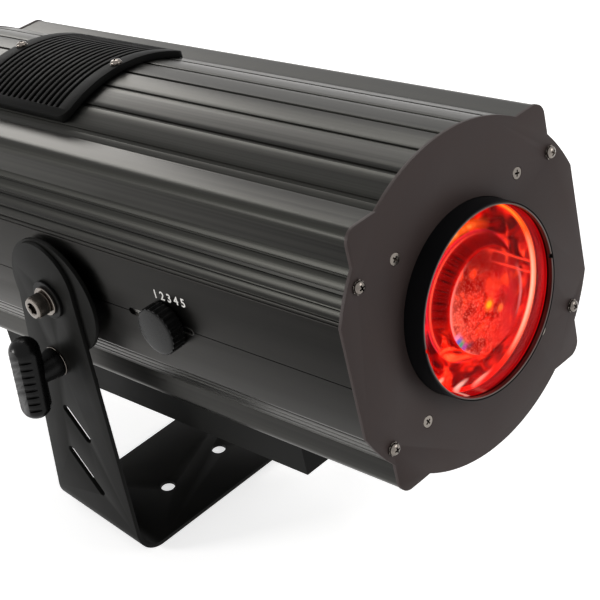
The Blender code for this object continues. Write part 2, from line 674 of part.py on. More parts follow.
def build_quadrant():
    """Tilt plate: a disc on the tilt axis with a lobe whose arc slot the clamp stud runs in."""
    slot_low = CLAMP_ANGLE - TILT_DOWN_LIMIT
    slot_high = CLAMP_ANGLE + TILT_UP_LIMIT
    lobe_low = slot_low - QUADRANT_END_MARGIN
    lobe_high = slot_high + QUADRANT_END_MARGIN
    down = -math.pi / 2
    disc = ring_points(QUADRANT_RADIUS, (0, 0), 28, down + lobe_high,
                       2 * math.pi - lobe_high + lobe_low)
    lobe = ring_points(QUADRANT_LOBE_RADIUS, (0, 0), 10, down + lobe_low, lobe_high - lobe_low)
    hole = ring_points(PIVOT_BOLT_RADIUS + RUN, (0, 0), 14)
    half = CLAMP_STUD_RADIUS + RUN
    outer = ring_points(CLAMP_RADIUS + half, (0, 0), 10, down + slot_low, slot_high - slot_low)
    inner = ring_points(CLAMP_RADIUS - half, (0, 0), 10, down + slot_high, slot_low - slot_high)
    end_high = ring_points(half, (CLAMP_RADIUS * math.cos(down + slot_high),
                                  CLAMP_RADIUS * math.sin(down + slot_high)), 6, down + slot_high, math.pi)
    end_low = ring_points(half, (CLAMP_RADIUS * math.cos(down + slot_low),
                                 CLAMP_RADIUS * math.sin(down + slot_low)), 6,
                          down + slot_low + math.pi, math.pi)
    slot = outer + end_high[1:-1] + inner + end_low[1:-1]
    extruded("tilt_quadrant", [disc + lobe, hole, slot], QUADRANT_THICKNESS,
             (-QUADRANT_INSIDE - QUADRANT_THICKNESS / 2, PIVOT_FROM_FRONT, -PIVOT_DROP), SIDE_VIEW,
             steel_black)


def build_clamp():
    """T-handle whose stud goes through the arm and the quadrant's slot into a nut."""
    face = BRACKET_OUTER_HALF_WIDTH
    axis_frame = frame("clamp_axis", bracket_frame, (-face, CLAMP_SETBACK, PIVOT_HEIGHT - CLAMP_DROP))
    ring_seat = GAP
    hub_seat = ring_seat + CLAMP_RING_THICKNESS + GAP
    radius = CLAMP_BAR_RADIUS
    half = CLAMP_BAR_LENGTH / 2
    end = radius * 0.86
    steps = 3
    profile = []
    for sign in (1, -1):
        arc = [(radius - end + end * math.sin(math.pi / 2 * i / steps),
                sign * (half - end + end * math.cos(math.pi / 2 * i / steps))) for i in range(steps + 1)]
        profile += arc if sign > 0 else arc[::-1]
    profile = [(0, half)] + profile + [(0, -half)]
    handle = turned("clamp_handle", profile, (-CLAMP_BAR_OFFSET, 0, 0), "+Z", plastic, axis_frame, 16)
    hub_length = CLAMP_BAR_OFFSET - hub_seat
    hub = turned("clamp_hub", [(0, hub_length), (CLAMP_HUB_RADIUS * 0.9, hub_length),
                 (CLAMP_HUB_RADIUS, 0), (0, 0)], (-hub_seat, 0, 0), "-X", None, axis_frame, 14, True)
    boolean(handle, hub, "UNION")
    flat = block("grip_flat", (2 * CLAMP_FLAT_DEPTH, 2 * radius, CLAMP_BAR_LENGTH + GAP),
                 (-CLAMP_BAR_OFFSET - radius, 0, 0), None, axis_frame, cutter=True)
    boolean(handle, flat)
    first = -(CLAMP_RIBS - 1) / 2 * CLAMP_RIB_PITCH
    for side in (-1, 1):
        bm = bmesh.new()
        for i in range(CLAMP_RIBS):
            made = bmesh.ops.create_cube(bm, size=1.0)["verts"]
            bmesh.ops.scale(bm, vec=(2 * CLAMP_RIB_DEPTH, CLAMP_RIB_WIDTH, CLAMP_RIB_SLOT), verts=made)
            bmesh.ops.translate(bm, vec=(-radius, 0, first + i * CLAMP_RIB_PITCH), verts=made)
        slots = from_bmesh(bm, "grip_slots", None, axis_frame, (-CLAMP_BAR_OFFSET, 0, 0),
                           (0, 0, side * CLAMP_RIB_ANGLE), True)
        boolean(handle, slots)
    nut_face = face - QUADRANT_INSIDE + GAP
    stud_end = nut_face + CLAMP_NUT_THICKNESS + 0.002
    inside = CLAMP_BAR_OFFSET - 0.004
    boolean(handle, rod("stud_bore", CLAMP_STUD_RADIUS + GAP, inside + GAP, (0, 0, 0), "-X", None,
                        axis_frame, 14, True))
    bore = CLAMP_STUD_RADIUS + RUN
    collar = ring_seat + CLAMP_RING_THICKNESS
    turned("clamp_stud", [(0, inside), (CLAMP_STUD_RADIUS, inside), (CLAMP_STUD_RADIUS, collar),
           (CLAMP_HUB_RADIUS, collar), (CLAMP_HUB_RADIUS, ring_seat), (CLAMP_STUD_RADIUS, ring_seat),
           (CLAMP_STUD_RADIUS, -stud_end), (0, -stud_end)], (0, 0, 0), "-X", zinc, axis_frame, 14)
    square = rounded_rectangle(CLAMP_NUT_HALF_SIZE, CLAMP_NUT_HALF_SIZE, 0.001, 2)
    extruded("clamp_nut", [square, ring_points(bore, sides=14)], CLAMP_NUT_THICKNESS,
             (nut_face + CLAMP_NUT_THICKNESS / 2, 0, 0), SIDE_VIEW, zinc, axis_frame)


def build_housing():
    """Two grooved half shells that meet at a seam on each side."""
    middle = SHELL_FRONT + HOUSING_LENGTH / 2
    shells = {}
    for name, sign in (("housing_upper", 1), ("housing_lower", -1)):
        shells[name] = extruded(name, [half_shell_outline(sign)], HOUSING_LENGTH, (0, middle, 0),
                                FRONT_VIEW, anodised)
    bores = rod("shell_pivot_bores", PIVOT_BOLT_RADIUS + GAP, 2.2 * SHELL_SIDE,
                (-1.1 * SHELL_SIDE, PIVOT_FROM_FRONT, -PIVOT_DROP), "+X", None, head, 14, True)
    slot = rounded_rectangle(FOCUS_SLOT_LENGTH / 2, FOCUS_SLOT_WIDTH / 2, FOCUS_SLOT_WIDTH / 2 * 0.999, 3)
    slot_centre = (-SHELL_SIDE, FOCUS_SLOT_FRONT + FOCUS_SLOT_LENGTH / 2, SEAM_HEIGHT)
    focus_slot = extruded("focus_slot", [slot], 4 * HOUSING_WALL, slot_centre, SIDE_VIEW, None, head, True)
    for shell in shells.values():
        boolean(shell, bores)
        boolean(shell, focus_slot)
    opening_y = VENT_LENGTH - 2 * VENT_OPENING_MARGIN
    opening_x = 2 * (VENT_HALF_WIDTH - VENT_OPENING_MARGIN)
    boolean(shells["housing_upper"], block("vent_opening", (opening_x, opening_y, 0.05),
            (0, VENT_FRONT + VENT_LENGTH / 2, SHELL_RADIUS - 0.010), None, head, (0, 0, 0), True))
    hole_length = 4 * HOUSING_WALL
    cable_hole = rod("driver_cable_hole", CABLE_HOLE_RADIUS, hole_length,
                     (0, BOX_FRONT + CABLE_HOLE_BACK, -SHELL_RADIUS + ARC_DROP - hole_length / 2), "+Z",
                     None, head, 12, True)
    boolean(shells["housing_lower"], cable_hole)


def build_plates():
    """Front and rear plates on the outline of the body, and the front screws."""
    tube_hole = ring_points(TUBE_RADIUS + GAP, sides=ROUND)
    clearance = SCREW_RADIUS + GAP
    outer_holes = [ring_points(clearance, p, 8) for p in screw_places(OUTER_SCREW_X, OUTER_SCREW_Z)]
    front = extruded("front_plate", [whole_outline(), tube_hole] + outer_holes, PLATE_THICKNESS,
                     (0, PLATE_THICKNESS / 2, 0), FRONT_VIEW, powder)
    for i, (x, z) in enumerate(screw_places(INNER_SCREW_HALF_PITCH, INNER_SCREW_HALF_PITCH)):
        sink = turned("countersink_%d" % (i + 1), countersunk_profile(GAP), (x, 0, z), "-Y", None, head, 8,
                      True)
        boolean(front, sink)
    for i, (x, z) in enumerate(screw_places(OUTER_SCREW_X, OUTER_SCREW_Z)):
        pan_screw("front_screw_%d" % (i + 1), x, z)
    for name, sign in (("housing_upper", 1), ("housing_lower", -1)):
        shell = bpy.data.objects[name]
        for i, (x, z) in enumerate(screw_places(OUTER_SCREW_X, OUTER_SCREW_Z)):
            if z * sign > 0:
                boolean(shell, rod("%s_port_%d" % (name, i + 1), SCREW_RADIUS + GAP, 1.1 * SHELL_REAR,
                                   (x, -SCREW_LENGTH, z), "+Y", None, head, 8, True))


def build_lens_tube():
    """Tube with a square flange behind the plate, front lens and notched ring."""
    inner = TUBE_RADIUS - TUBE_WALL
    seat = inner - TUBE_SEAT_STEP
    front = TUBE_PROJECTION
    lens_front = front - RING_SETBACK - RING_HEIGHT - GAP
    lens_rear = lens_front - LENS_EDGE
    step = lens_rear - sag(inner - GAP, LENS_REAR_BULGE, seat) - GAP
    profile = [(inner, front), (TUBE_RADIUS - 0.0004, front), (TUBE_RADIUS, front - 0.0004),
               (TUBE_RADIUS, -TUBE_DEPTH), (seat, -TUBE_DEPTH), (seat, step), (inner, step)]
    tube = turned("lens_tube", profile, (0, 0, 0), "-Y", powder, head, ROUND)
    square = rounded_rectangle(FLANGE_HALF_WIDTH, FLANGE_HALF_WIDTH, FLANGE_CORNER, 2)
    holes = [ring_points(SCREW_RADIUS + GAP, p, 8)
             for p in screw_places(INNER_SCREW_HALF_PITCH, INNER_SCREW_HALF_PITCH)]
    flange = extruded("lens_flange", [square, ring_points(seat + 0.001, sides=ROUND)] + holes, FLANGE_THICKNESS,
                      (0, PLATE_THICKNESS + GAP + FLANGE_THICKNESS / 2, 0), FRONT_VIEW, None, head, True)
    boolean(tube, flange, "UNION")
    ring_top = front - RING_SETBACK
    ring_outer = inner - GAP
    ring = turned("lens_ring", [(ring_outer - RING_WIDTH, ring_top), (ring_outer, ring_top),
                  (ring_outer, ring_top - RING_HEIGHT), (ring_outer - RING_WIDTH, ring_top - RING_HEIGHT)],
                  (0, 0, 0), "-Y", powder, head, ROUND)
    notch = block("ring_notches", (2.2 * ring_outer, RING_HEIGHT, RING_NOTCH),
                  (0, -ring_top, 0), None, head, (0, 0, 0), True)
    boolean(ring, notch)
    turned("front_lens", lens_profile(inner - GAP, LENS_EDGE, LENS_FRONT_BULGE, LENS_REAR_BULGE, 3),
           (0, -lens_front, 0), "-Y", glass, head, ROUND)


def sector(name, low, high, half_angle, half_width, half_length, corner, middle, surface, cutter):
    """A solid between two arcs over the body, trimmed to a plan with round corners."""
    centre = (0, -ARC_DROP)
    start = math.pi / 2 - half_angle
    section = ring_points(high, centre, VENT_STEPS, start, 2 * half_angle)
    section += ring_points(low, centre, VENT_STEPS, start + 2 * half_angle, -2 * half_angle)
    solid = extruded(name, [section], 2 * half_length + 2 * corner, (0, middle, 0), FRONT_VIEW, surface,
                     head, cutter)
    plan = extruded(name + "_plan", [rounded_rectangle(half_width, half_length, corner, 4)], 2 * half_width,
                    (0, middle, low - ARC_DROP - half_width / 4), (0, 0, 0), None, head, True)
    return boolean(solid, plan, "INTERSECT")


def build_vent_cover():
    """Curved cover over the top vent, cut by slits that follow the curve."""
    outer = SHELL_RADIUS + VENT_HEIGHT
    inner = outer - VENT_THICKNESS
    middle = VENT_FRONT + VENT_LENGTH / 2
    half = math.asin(VENT_HALF_WIDTH / outer)
    foot = (SHELL_RADIUS + GAP) / math.cos(half / VENT_STEPS)
    cover = sector("vent_cover", foot, outer, half, VENT_HALF_WIDTH + 0.001, VENT_LENGTH / 2, VENT_CORNER,
                   middle, steel_black, False)
    hollow = sector("vent_cover_inside", foot - 0.002, inner, half - VENT_THICKNESS / outer,
                    VENT_HALF_WIDTH, VENT_LENGTH / 2 - VENT_THICKNESS, VENT_CORNER - VENT_THICKNESS, middle,
                    None, True)
    boolean(cover, hollow)
    pitch = (VENT_LENGTH - 2 * VENT_BORDER_END) / VENT_SLITS
    bm = bmesh.new()
    for i in range(VENT_SLITS):
        made = bmesh.ops.create_cube(bm, size=1.0)["verts"]
        size = (2 * (VENT_HALF_WIDTH - VENT_BORDER_SIDE), pitch * VENT_SLIT_SHARE, 0.06)
        bmesh.ops.scale(bm, vec=size, verts=made)
        y = VENT_FRONT + VENT_BORDER_END + (i + 0.5) * pitch
        bmesh.ops.translate(bm, vec=(0, y, outer - ARC_DROP), verts=made)
    boolean(cover, from_bmesh(bm, "vent_slits", None, head, (0, 0, 0), (0, 0, 0), True))
    top_z = outer - ARC_DROP
    for name, y in (("front_cover_screw", VENT_FRONT + VENT_BORDER_END / 2),
                    ("rear_cover_screw", VENT_FRONT + VENT_LENGTH - VENT_BORDER_END / 2)):
        hole = rod(name + "_hole", SCREW_RADIUS, 0.03, (0, y, top_z - 0.02), "+Z", None, head, 10, True)
        boolean(cover, hole)
        boolean(bpy.data.objects["housing_upper"], hole)


def build_focus():
    """Lens carriage on two rods, moved by a knurled knob outside the slot."""
    y = KNOB_FROM_FRONT
    carriage = extruded("focus_carriage", [ring_points(CARRIAGE_RADIUS, sides=24)], CARRIAGE_LENGTH,
                        (0, y, 0), FRONT_VIEW, aluminium)
    for i, sign in enumerate((1, -1)):
        ear = rod("carriage_ear_%d" % (i + 1), CARRIAGE_EAR_RADIUS, CARRIAGE_LENGTH * 0.998,
                  (sign * ROD_OFFSET, y - CARRIAGE_LENGTH * 0.499, sign * ROD_OFFSET), "+Y", None, head, 10,
                  True)
        boolean(carriage, ear, "UNION")
        neck = block("carriage_neck_%d" % (i + 1), (2 * CARRIAGE_EAR_RADIUS * 0.9, CARRIAGE_LENGTH * 0.996,
                     2 * CARRIAGE_EAR_RADIUS), (sign * ROD_OFFSET * 0.85, y, sign * ROD_OFFSET * 0.85), None,
                     head, (0, -math.pi / 4, 0), True)
        boolean(carriage, neck, "UNION")
    lug_end = -SHELL_INSIDE + GAP + STRIP_THICKNESS + GAP
    lug_start = -CARRIAGE_LENS_RADIUS - 0.003
    lug = block("carriage_lug", (lug_start - lug_end, CARRIAGE_LENGTH * 0.99, LUG_HEIGHT),
                ((lug_start + lug_end) / 2, y, SEAM_HEIGHT), None, head, (0, 0, 0), True)
    boolean(carriage, lug, "UNION")
    boolean(carriage, rod("carriage_bore", CARRIAGE_LENS_RADIUS + GAP, 2 * CARRIAGE_LENGTH,
                          (0, y - CARRIAGE_LENGTH, 0), "+Y", None, head, 24, True))
    for i, sign in enumerate((1, -1)):
        boolean(carriage, rod("rod_bore_%d" % (i + 1), ROD_RADIUS + RUN, 2 * CARRIAGE_LENGTH,
                (sign * ROD_OFFSET, y - CARRIAGE_LENGTH, sign * ROD_OFFSET), "+Y", None, head, 10, True))
    stud_inner = 0.012
    boolean(carriage, rod("stud_hole", FOCUS_STUD_RADIUS + GAP, stud_inner + 0.001,
                          (lug_end + stud_inner, y, SEAM_HEIGHT), "-X", None, head, 12, True))
    stud_start = lug_end + stud_inner - GAP
    knob_face = -SHELL_SIDE - RUN
    stud_end = knob_face - KNOB_LENGTH * 0.6
    rod("focus_stud", FOCUS_STUD_RADIUS, stud_start - stud_end, (stud_start, y, SEAM_HEIGHT), "-X", zinc,
        head, 12)
    turned("carriage_lens", lens_profile(CARRIAGE_LENS_RADIUS, CARRIAGE_LENS_EDGE, CARRIAGE_LENS_BULGE,
           CARRIAGE_LENS_BULGE, 3), (0, y - CARRIAGE_LENS_EDGE / 2, 0), "-Y", glass, head, 24)
    reach = FOCUS_SLOT_LENGTH - FOCUS_SLOT_WIDTH / 2
    strip = extruded("slot_strip", [[(-reach, -STRIP_HALF_HEIGHT), (reach, -STRIP_HALF_HEIGHT),
                     (reach, STRIP_HALF_HEIGHT), (-reach, STRIP_HALF_HEIGHT)],
                     ring_points(FOCUS_STUD_RADIUS + GAP, sides=12)], STRIP_THICKNESS,
                     (-SHELL_INSIDE + GAP + STRIP_THICKNESS / 2, y, SEAM_HEIGHT), SIDE_VIEW, aluminium)
    build_knob(knob_face, y)
    for i, sign in enumerate((1, -1)):
        rod("guide_rod_%d" % (i + 1), ROD_RADIUS, GATE_REAR - ROD_PLATE_FRONT,
            (sign * ROD_OFFSET, ROD_PLATE_FRONT, sign * ROD_OFFSET), "+Y", zinc, head, 14)
    return strip


def build_knob(knob_face, y):
    """Knurled knob with a slightly domed face."""
    outline = []
    for i in range(KNOB_RIDGES * 2):
        radius = KNOB_RADIUS - KNOB_RIDGE_DEPTH * (i % 2)
        angle = math.pi * i / KNOB_RIDGES
        outline.append((radius * math.cos(angle), radius * math.sin(angle)))
    skirt = KNOB_LENGTH * 0.86
    knob = extruded("focus_knob", [outline], skirt, (knob_face - skirt / 2, y, SEAM_HEIGHT), SIDE_VIEW,
                    plastic)
    face_radius = KNOB_RADIUS - KNOB_RIDGE_DEPTH * 1.3
    rim = KNOB_LENGTH - KNOB_DOME
    cap = turned("knob_cap", [(0, KNOB_LENGTH), (face_radius * 0.6, KNOB_LENGTH - KNOB_DOME * 0.35),
                 (face_radius * 0.93, rim), (face_radius, rim - 0.0008),
                 (face_radius, skirt * 0.8), (0, skirt * 0.8)], (knob_face, y, SEAM_HEIGHT), "-X", None,
                 head, 24, True)
    boolean(knob, cap, "UNION")
    boolean(knob, rod("knob_bore", FOCUS_STUD_RADIUS + GAP, KNOB_LENGTH * 0.6 + 2 * GAP,
                      (knob_face + GAP, y, SEAM_HEIGHT), "-X", None, head, 12, True))


def build_tray():
    """Folded tray inside the lower shell, with two upright plates."""
    half = TRAY_HALF_WIDTH
    thick = TRAY_THICKNESS
    web = TRAY_HEIGHT
    section = [(-half, TRAY_FEET), (-half, web), (half, web), (half, TRAY_FEET), (half - thick, TRAY_FEET),
               (half - thick, web - thick), (-half + thick, web - thick), (-half + thick, TRAY_FEET)]
    extruded("optical_tray", [section], TRAY_LENGTH, (0, TRAY_FRONT + TRAY_LENGTH / 2, 0), FRONT_VIEW,
             aluminium)
    low = web + GAP
    edge = INNER_PLATE_HALF_WIDTH
    sheet = [(-edge, low), (edge, low), (edge, INNER_PLATE_TOP), (-edge, INNER_PLATE_TOP)]
    rods = [ring_points(ROD_RADIUS + GAP, (s * ROD_OFFSET, s * ROD_OFFSET), 12) for s in (1, -1)]
    extruded("rod_plate", [sheet, ring_points(ROD_PLATE_BORE, sides=24)] + rods, INNER_PLATE_THICKNESS,
             (0, ROD_PLATE_FRONT + INNER_PLATE_THICKNESS / 2, 0), FRONT_VIEW, aluminium)
    gate = ring_points(GATE_RADIUS, sides=20)
    shaft = ring_points(WHEEL_SHAFT_RADIUS + RUN, (WHEEL_OFFSET, 0), 10)
    extruded("gate_plate", [sheet, gate, shaft] + rods, INNER_PLATE_THICKNESS,
             (0, GATE_FRONT + INNER_PLATE_THICKNESS / 2, 0), FRONT_VIEW, aluminium)


def build_colour_wheel():
    """Wheel of filters behind the gate, turned by a small motor in front of it."""
    wheel_front = GATE_REAR + GAP + 0.0012
    pocket = FILTER_RADIUS + GAP
    wheel_radius = WHEEL_OFFSET + pocket + WHEEL_MARGIN
    turn = frame("wheel_axis", head, (WHEEL_OFFSET, wheel_front, 0))
    count = FILTERS + 1
    centres = [(-WHEEL_OFFSET * math.cos(2 * math.pi * i / count),
                WHEEL_OFFSET * math.sin(2 * math.pi * i / count)) for i in range(count)]
    extruded("colour_wheel", [ring_points(wheel_radius, sides=24),
             ring_points(WHEEL_SHAFT_RADIUS + GAP, (0, 0), 10), ring_points(pocket, centres[0], 8)],
             WHEEL_THICKNESS, (0, WHEEL_THICKNESS / 2, 0), FRONT_VIEW, aluminium, turn)
    for i in range(FILTERS):
        x, z = centres[i + 1]
        boolean(bpy.data.objects["colour_wheel"], rod("filter_pocket_%d" % (i + 1), pocket, WHEEL_THICKNESS,
                (x, WHEEL_THICKNESS * 0.4, z), "+Y", None, turn, 8, True))
    shaft_front = -(wheel_front - GATE_FRONT) - 0.008
    hub = WHEEL_THICKNESS + GAP - shaft_front
    turned("wheel_shaft", [(0, hub + 0.0016), (WHEEL_HUB_RADIUS, hub + 0.0016), (WHEEL_HUB_RADIUS, hub),
           (WHEEL_SHAFT_RADIUS, hub), (WHEEL_SHAFT_RADIUS, 0), (0, 0)], (0, shaft_front, 0), "+Y", zinc,
           turn, 12)
    bore = WHEEL_SHAFT_RADIUS + RUN
    motor = turned("wheel_motor", [(0, MOTOR_LENGTH), (MOTOR_RADIUS - 0.001, MOTOR_LENGTH),
                   (MOTOR_RADIUS, MOTOR_LENGTH - 0.001), (MOTOR_RADIUS, 0), (0, 0)],
                   (WHEEL_OFFSET, GATE_FRONT - GAP, 0), "-Y", zinc, head, 16)
    boolean(motor, rod("motor_bore", bore, 0.010, (WHEEL_OFFSET, GATE_FRONT + 0.001, 0), "-Y", None, head,
                       10, True))


def build_light_engine():
    """Finned heat sink with the emitter board, the condenser in its tube, and the fan."""
    low = TRAY_HEIGHT + GAP
    height = SINK_TOP - low
    half = SINK_HALF_WIDTH
    pitch = (2 * half - SINK_FIN_THICKNESS) / (SINK_FINS - 1)
    comb = [(half, 0.0), (-half, 0.0)]
    for i in range(SINK_FINS):
        x = -half + i * pitch
        if i:
            comb.append((x, SINK_BASE))
        comb += [(x, SINK_DEPTH), (x + SINK_FIN_THICKNESS, SINK_DEPTH)]
        if i < SINK_FINS - 1:
            comb.append((x + SINK_FIN_THICKNESS, SINK_BASE))
    extruded("heat_sink", [comb], height, (0, SINK_FRONT, low + height / 2), (0, 0, 0), aluminium)
    board_front = SINK_FRONT - GAP - BOARD_THICKNESS
    square = rounded_rectangle(BOARD_HALF_WIDTH, BOARD_HALF_WIDTH, 0.002, 2)
    board = extruded("emitter_board", [square], BOARD_THICKNESS, (0, board_front + BOARD_THICKNESS / 2, 0),
                     FRONT_VIEW, board_green)
    rise = EMITTER_HEIGHT
    emitter = turned("light_emitter", [(0, rise), (EMITTER_RADIUS * 0.7, rise * 0.8),
                     (EMITTER_RADIUS, rise * 0.3), (EMITTER_RADIUS, -GAP), (0, -GAP)],
                     (0, board_front, 0), "-Y", None, head, 16, True)
    boolean(board, emitter, "UNION")
    inner = CONDENSER_RADIUS + GAP
    outer = inner + CONDENSER_WALL
    lip = inner - CONDENSER_LIP
    base_radius = BOARD_HALF_WIDTH * math.sqrt(2) + 2 * GAP
    flange = CONDENSER_FLANGE
    floor = BOARD_THICKNESS + EMITTER_HEIGHT
    top = CONDENSER_LENGTH
    seat = top - CONDENSER_SEAT_DEPTH
    turned("condenser_tube", [(inner, top), (outer, top), (outer, flange), (base_radius + flange, flange),
           (base_radius + flange, 0), (base_radius, 0), (base_radius, floor), (lip, floor), (lip, seat),
           (inner, seat)], (0, SINK_FRONT - GAP, 0), "-Y", aluminium, head, 16)
    lens_edge = seat + GAP + sag(CONDENSER_RADIUS, CONDENSER_REAR_BULGE, lip)
    turned("condenser_lens", lens_profile(CONDENSER_RADIUS, CONDENSER_EDGE, CONDENSER_FRONT_BULGE,
           CONDENSER_REAR_BULGE, 3), (0, SINK_FRONT - GAP - lens_edge - CONDENSER_EDGE, 0), "-Y", glass,
           head, 16)
    build_fan(SINK_FRONT + SINK_DEPTH + GAP, (low + SINK_TOP) / 2)


def build_fan(front, z):
    """Square fan: frame with a strutted motor seat, and a bladed rotor in front of it."""
    square = rounded_rectangle(FAN_HALF_WIDTH, FAN_HALF_WIDTH, 0.004, 3)
    body = extruded("fan_frame", [square, ring_points(FAN_BORE, sides=20)], FAN_DEPTH,
                    (0, front + FAN_DEPTH / 2, z), FRONT_VIEW, plastic)
    seat = FAN_STRUT
    for i, angle in enumerate((math.pi / 4, -math.pi / 4)):
        strut = block("fan_strut_%d" % (i + 1), (2 * FAN_BORE + 0.004, seat, FAN_STRUT),
                      (0, front + FAN_DEPTH - seat / 2 - 0.0005, z), None, head, (0, angle, 0), True)
        boolean(body, strut, "UNION")
    boolean(body, rod("fan_seat", FAN_HUB_RADIUS, seat * 0.98, (0, front + FAN_DEPTH - seat - 0.0004, z),
                      "+Y", None, head, 16, True), "UNION")
    depth = FAN_DEPTH - seat - 0.0005 - GAP - 0.003
    turn = frame("fan_axis", head, (0, front + 0.003 + depth / 2, z))
    rotor = rod("fan_rotor", FAN_HUB_RADIUS, depth, (0, -depth / 2, 0), "+Y", plastic, turn, 16)
    tip = FAN_BORE - 0.0012
    bm = bmesh.new()
    for i in range(FAN_BLADES):
        made = bmesh.ops.create_cube(bm, size=1.0)["verts"]
        length = tip - FAN_HUB_RADIUS * 0.7
        bmesh.ops.scale(bm, vec=(length, 0.0016, 0.018), verts=made)
        pitch = Matrix.Rotation(math.radians(40), 4, "X")
        outward = Matrix.Translation((tip - length / 2, 0, 0))
        spin = Matrix.Rotation(2 * math.pi * i / FAN_BLADES, 4, "Y")
        bmesh.ops.transform(bm, matrix=spin @ outward @ pitch, verts=made)
    rim = rod("fan_sweep", tip, depth * 0.98, (0, -depth * 0.49, 0), "+Y", None, turn, 20, True)
    blades = from_bmesh(bm, "fan_blades", None, turn, (0, 0, 0), (0, 0, 0), True)
    boolean(blades, rim, "INTERSECT")
    boolean(rotor, blades, "UNION")


def build_driver_box():
    """Sheet box under the body, cut to the body's curve, with the lamp driver inside."""
    top = -LOBE_HALF_HEIGHT + 0.004
    height = top - BOX_BOTTOM
    middle = BOX_FRONT + BOX_LENGTH / 2
    box = block("driver_box", (2 * BOX_HALF_WIDTH, BOX_LENGTH, height), (0, middle, BOX_BOTTOM + height / 2),
                powder)
    hollow = block("driver_box_inside", (2 * (BOX_HALF_WIDTH - BOX_WALL), BOX_LENGTH - 2 * BOX_WALL, height),
                   (0, middle, BOX_BOTTOM + height / 2 + BOX_WALL), None, head, (0, 0, 0), True)
    boolean(box, hollow)
    body = extruded("body_outline", [whole_outline(HOUSING_INSET - GAP)], BOX_LENGTH * 1.1, (0, middle, 0),
                    FRONT_VIEW, None, head, True)
    boolean(box, body)
    floor = BOX_BOTTOM + BOX_WALL + GAP
    space = -SHELL_RADIUS + ARC_DROP - GAP - floor
    block("lamp_driver", (2 * DRIVER_HALF_WIDTH, DRIVER_LENGTH, space * 0.9),
          (0, middle, floor + space * 0.45), aluminium)


def build_rear():
    """Rear plate with display, buttons, power inlet and switch, signal sockets and handle."""
    face = REAR_FACE
    signal_xs = [SIGNAL_X, SIGNAL_X + SIGNAL_PITCH]
    button_xs = [(i - (BUTTONS - 1) / 2) * BUTTON_PITCH for i in range(BUTTONS)]
    openings = [rectangle(DISPLAY_HALF_WIDTH + GAP, DISPLAY_HALF_HEIGHT + GAP, (0, DISPLAY_HEIGHT)),
                rectangle(INLET_HALF_WIDTH + GAP, INLET_HALF_HEIGHT + GAP, (INLET_X, SOCKET_HEIGHT)),
                rectangle(SWITCH_HALF_WIDTH + GAP, SWITCH_HALF_HEIGHT + GAP, (SWITCH_X, SOCKET_HEIGHT))]
    openings += [ring_points(BUTTON_RADIUS + RUN, (x, BUTTON_HEIGHT), 8) for x in button_xs]
    openings += [ring_points(SIGNAL_RADIUS + GAP, (x, SOCKET_HEIGHT), 14) for x in signal_xs]
    openings += [ring_points(SCREW_RADIUS + GAP, p, 8) for p in screw_places(OUTER_SCREW_X, OUTER_SCREW_Z)]
    extruded("rear_plate", [whole_outline()] + openings, PLATE_THICKNESS,
             (0, face - PLATE_THICKNESS / 2, 0), FRONT_VIEW, powder)
    display = block("display_window", (2 * DISPLAY_HALF_WIDTH, PLATE_THICKNESS, 2 * DISPLAY_HALF_HEIGHT),
                    (0, face - PLATE_THICKNESS / 2, DISPLAY_HEIGHT), glass)
    flange_front = REAR_PLATE_FRONT - GAP - BUTTON_FLANGE
    for i, x in enumerate(button_xs):
        length = face + BUTTON_PROUD - flange_front
        turned("menu_button_%d" % (i + 1), [(0, length), (BUTTON_RADIUS - 0.0005, length),
               (BUTTON_RADIUS, length - 0.0005), (BUTTON_RADIUS, BUTTON_FLANGE),
               (BUTTON_RADIUS + 0.0015, BUTTON_FLANGE), (BUTTON_RADIUS + 0.0015, 0), (0, 0)],
               (x, flange_front, BUTTON_HEIGHT), "+Y", plastic, head, 8)
    board_rear = flange_front - BUTTON_TRAVEL - GAP
    board_half_width = DISPLAY_HALF_WIDTH + 0.010
    board_low = BUTTON_HEIGHT - 0.010
    board_high = DISPLAY_HEIGHT + DISPLAY_HALF_HEIGHT + 0.006
    board_centre = (board_low + board_high) / 2
    board = block("control_board", (2 * board_half_width, 0.0016, board_high - board_low),
                  (0, board_rear - 0.0008, board_centre), board_green)
    post_length = REAR_PLATE_FRONT - GAP - board_rear
    for i, (x, z) in enumerate(screw_places(board_half_width - 0.004, (board_high - board_low) / 2 - 0.004)):
        post = rod("board_post_%d" % (i + 1), 0.0028, post_length + 0.0005,
                   (x, board_rear - 0.0005, z + board_centre), "+Y", None, head, 8, True)
        boolean(board, post, "UNION")
    build_sockets(face, signal_xs)
    build_handle(face)
    return display


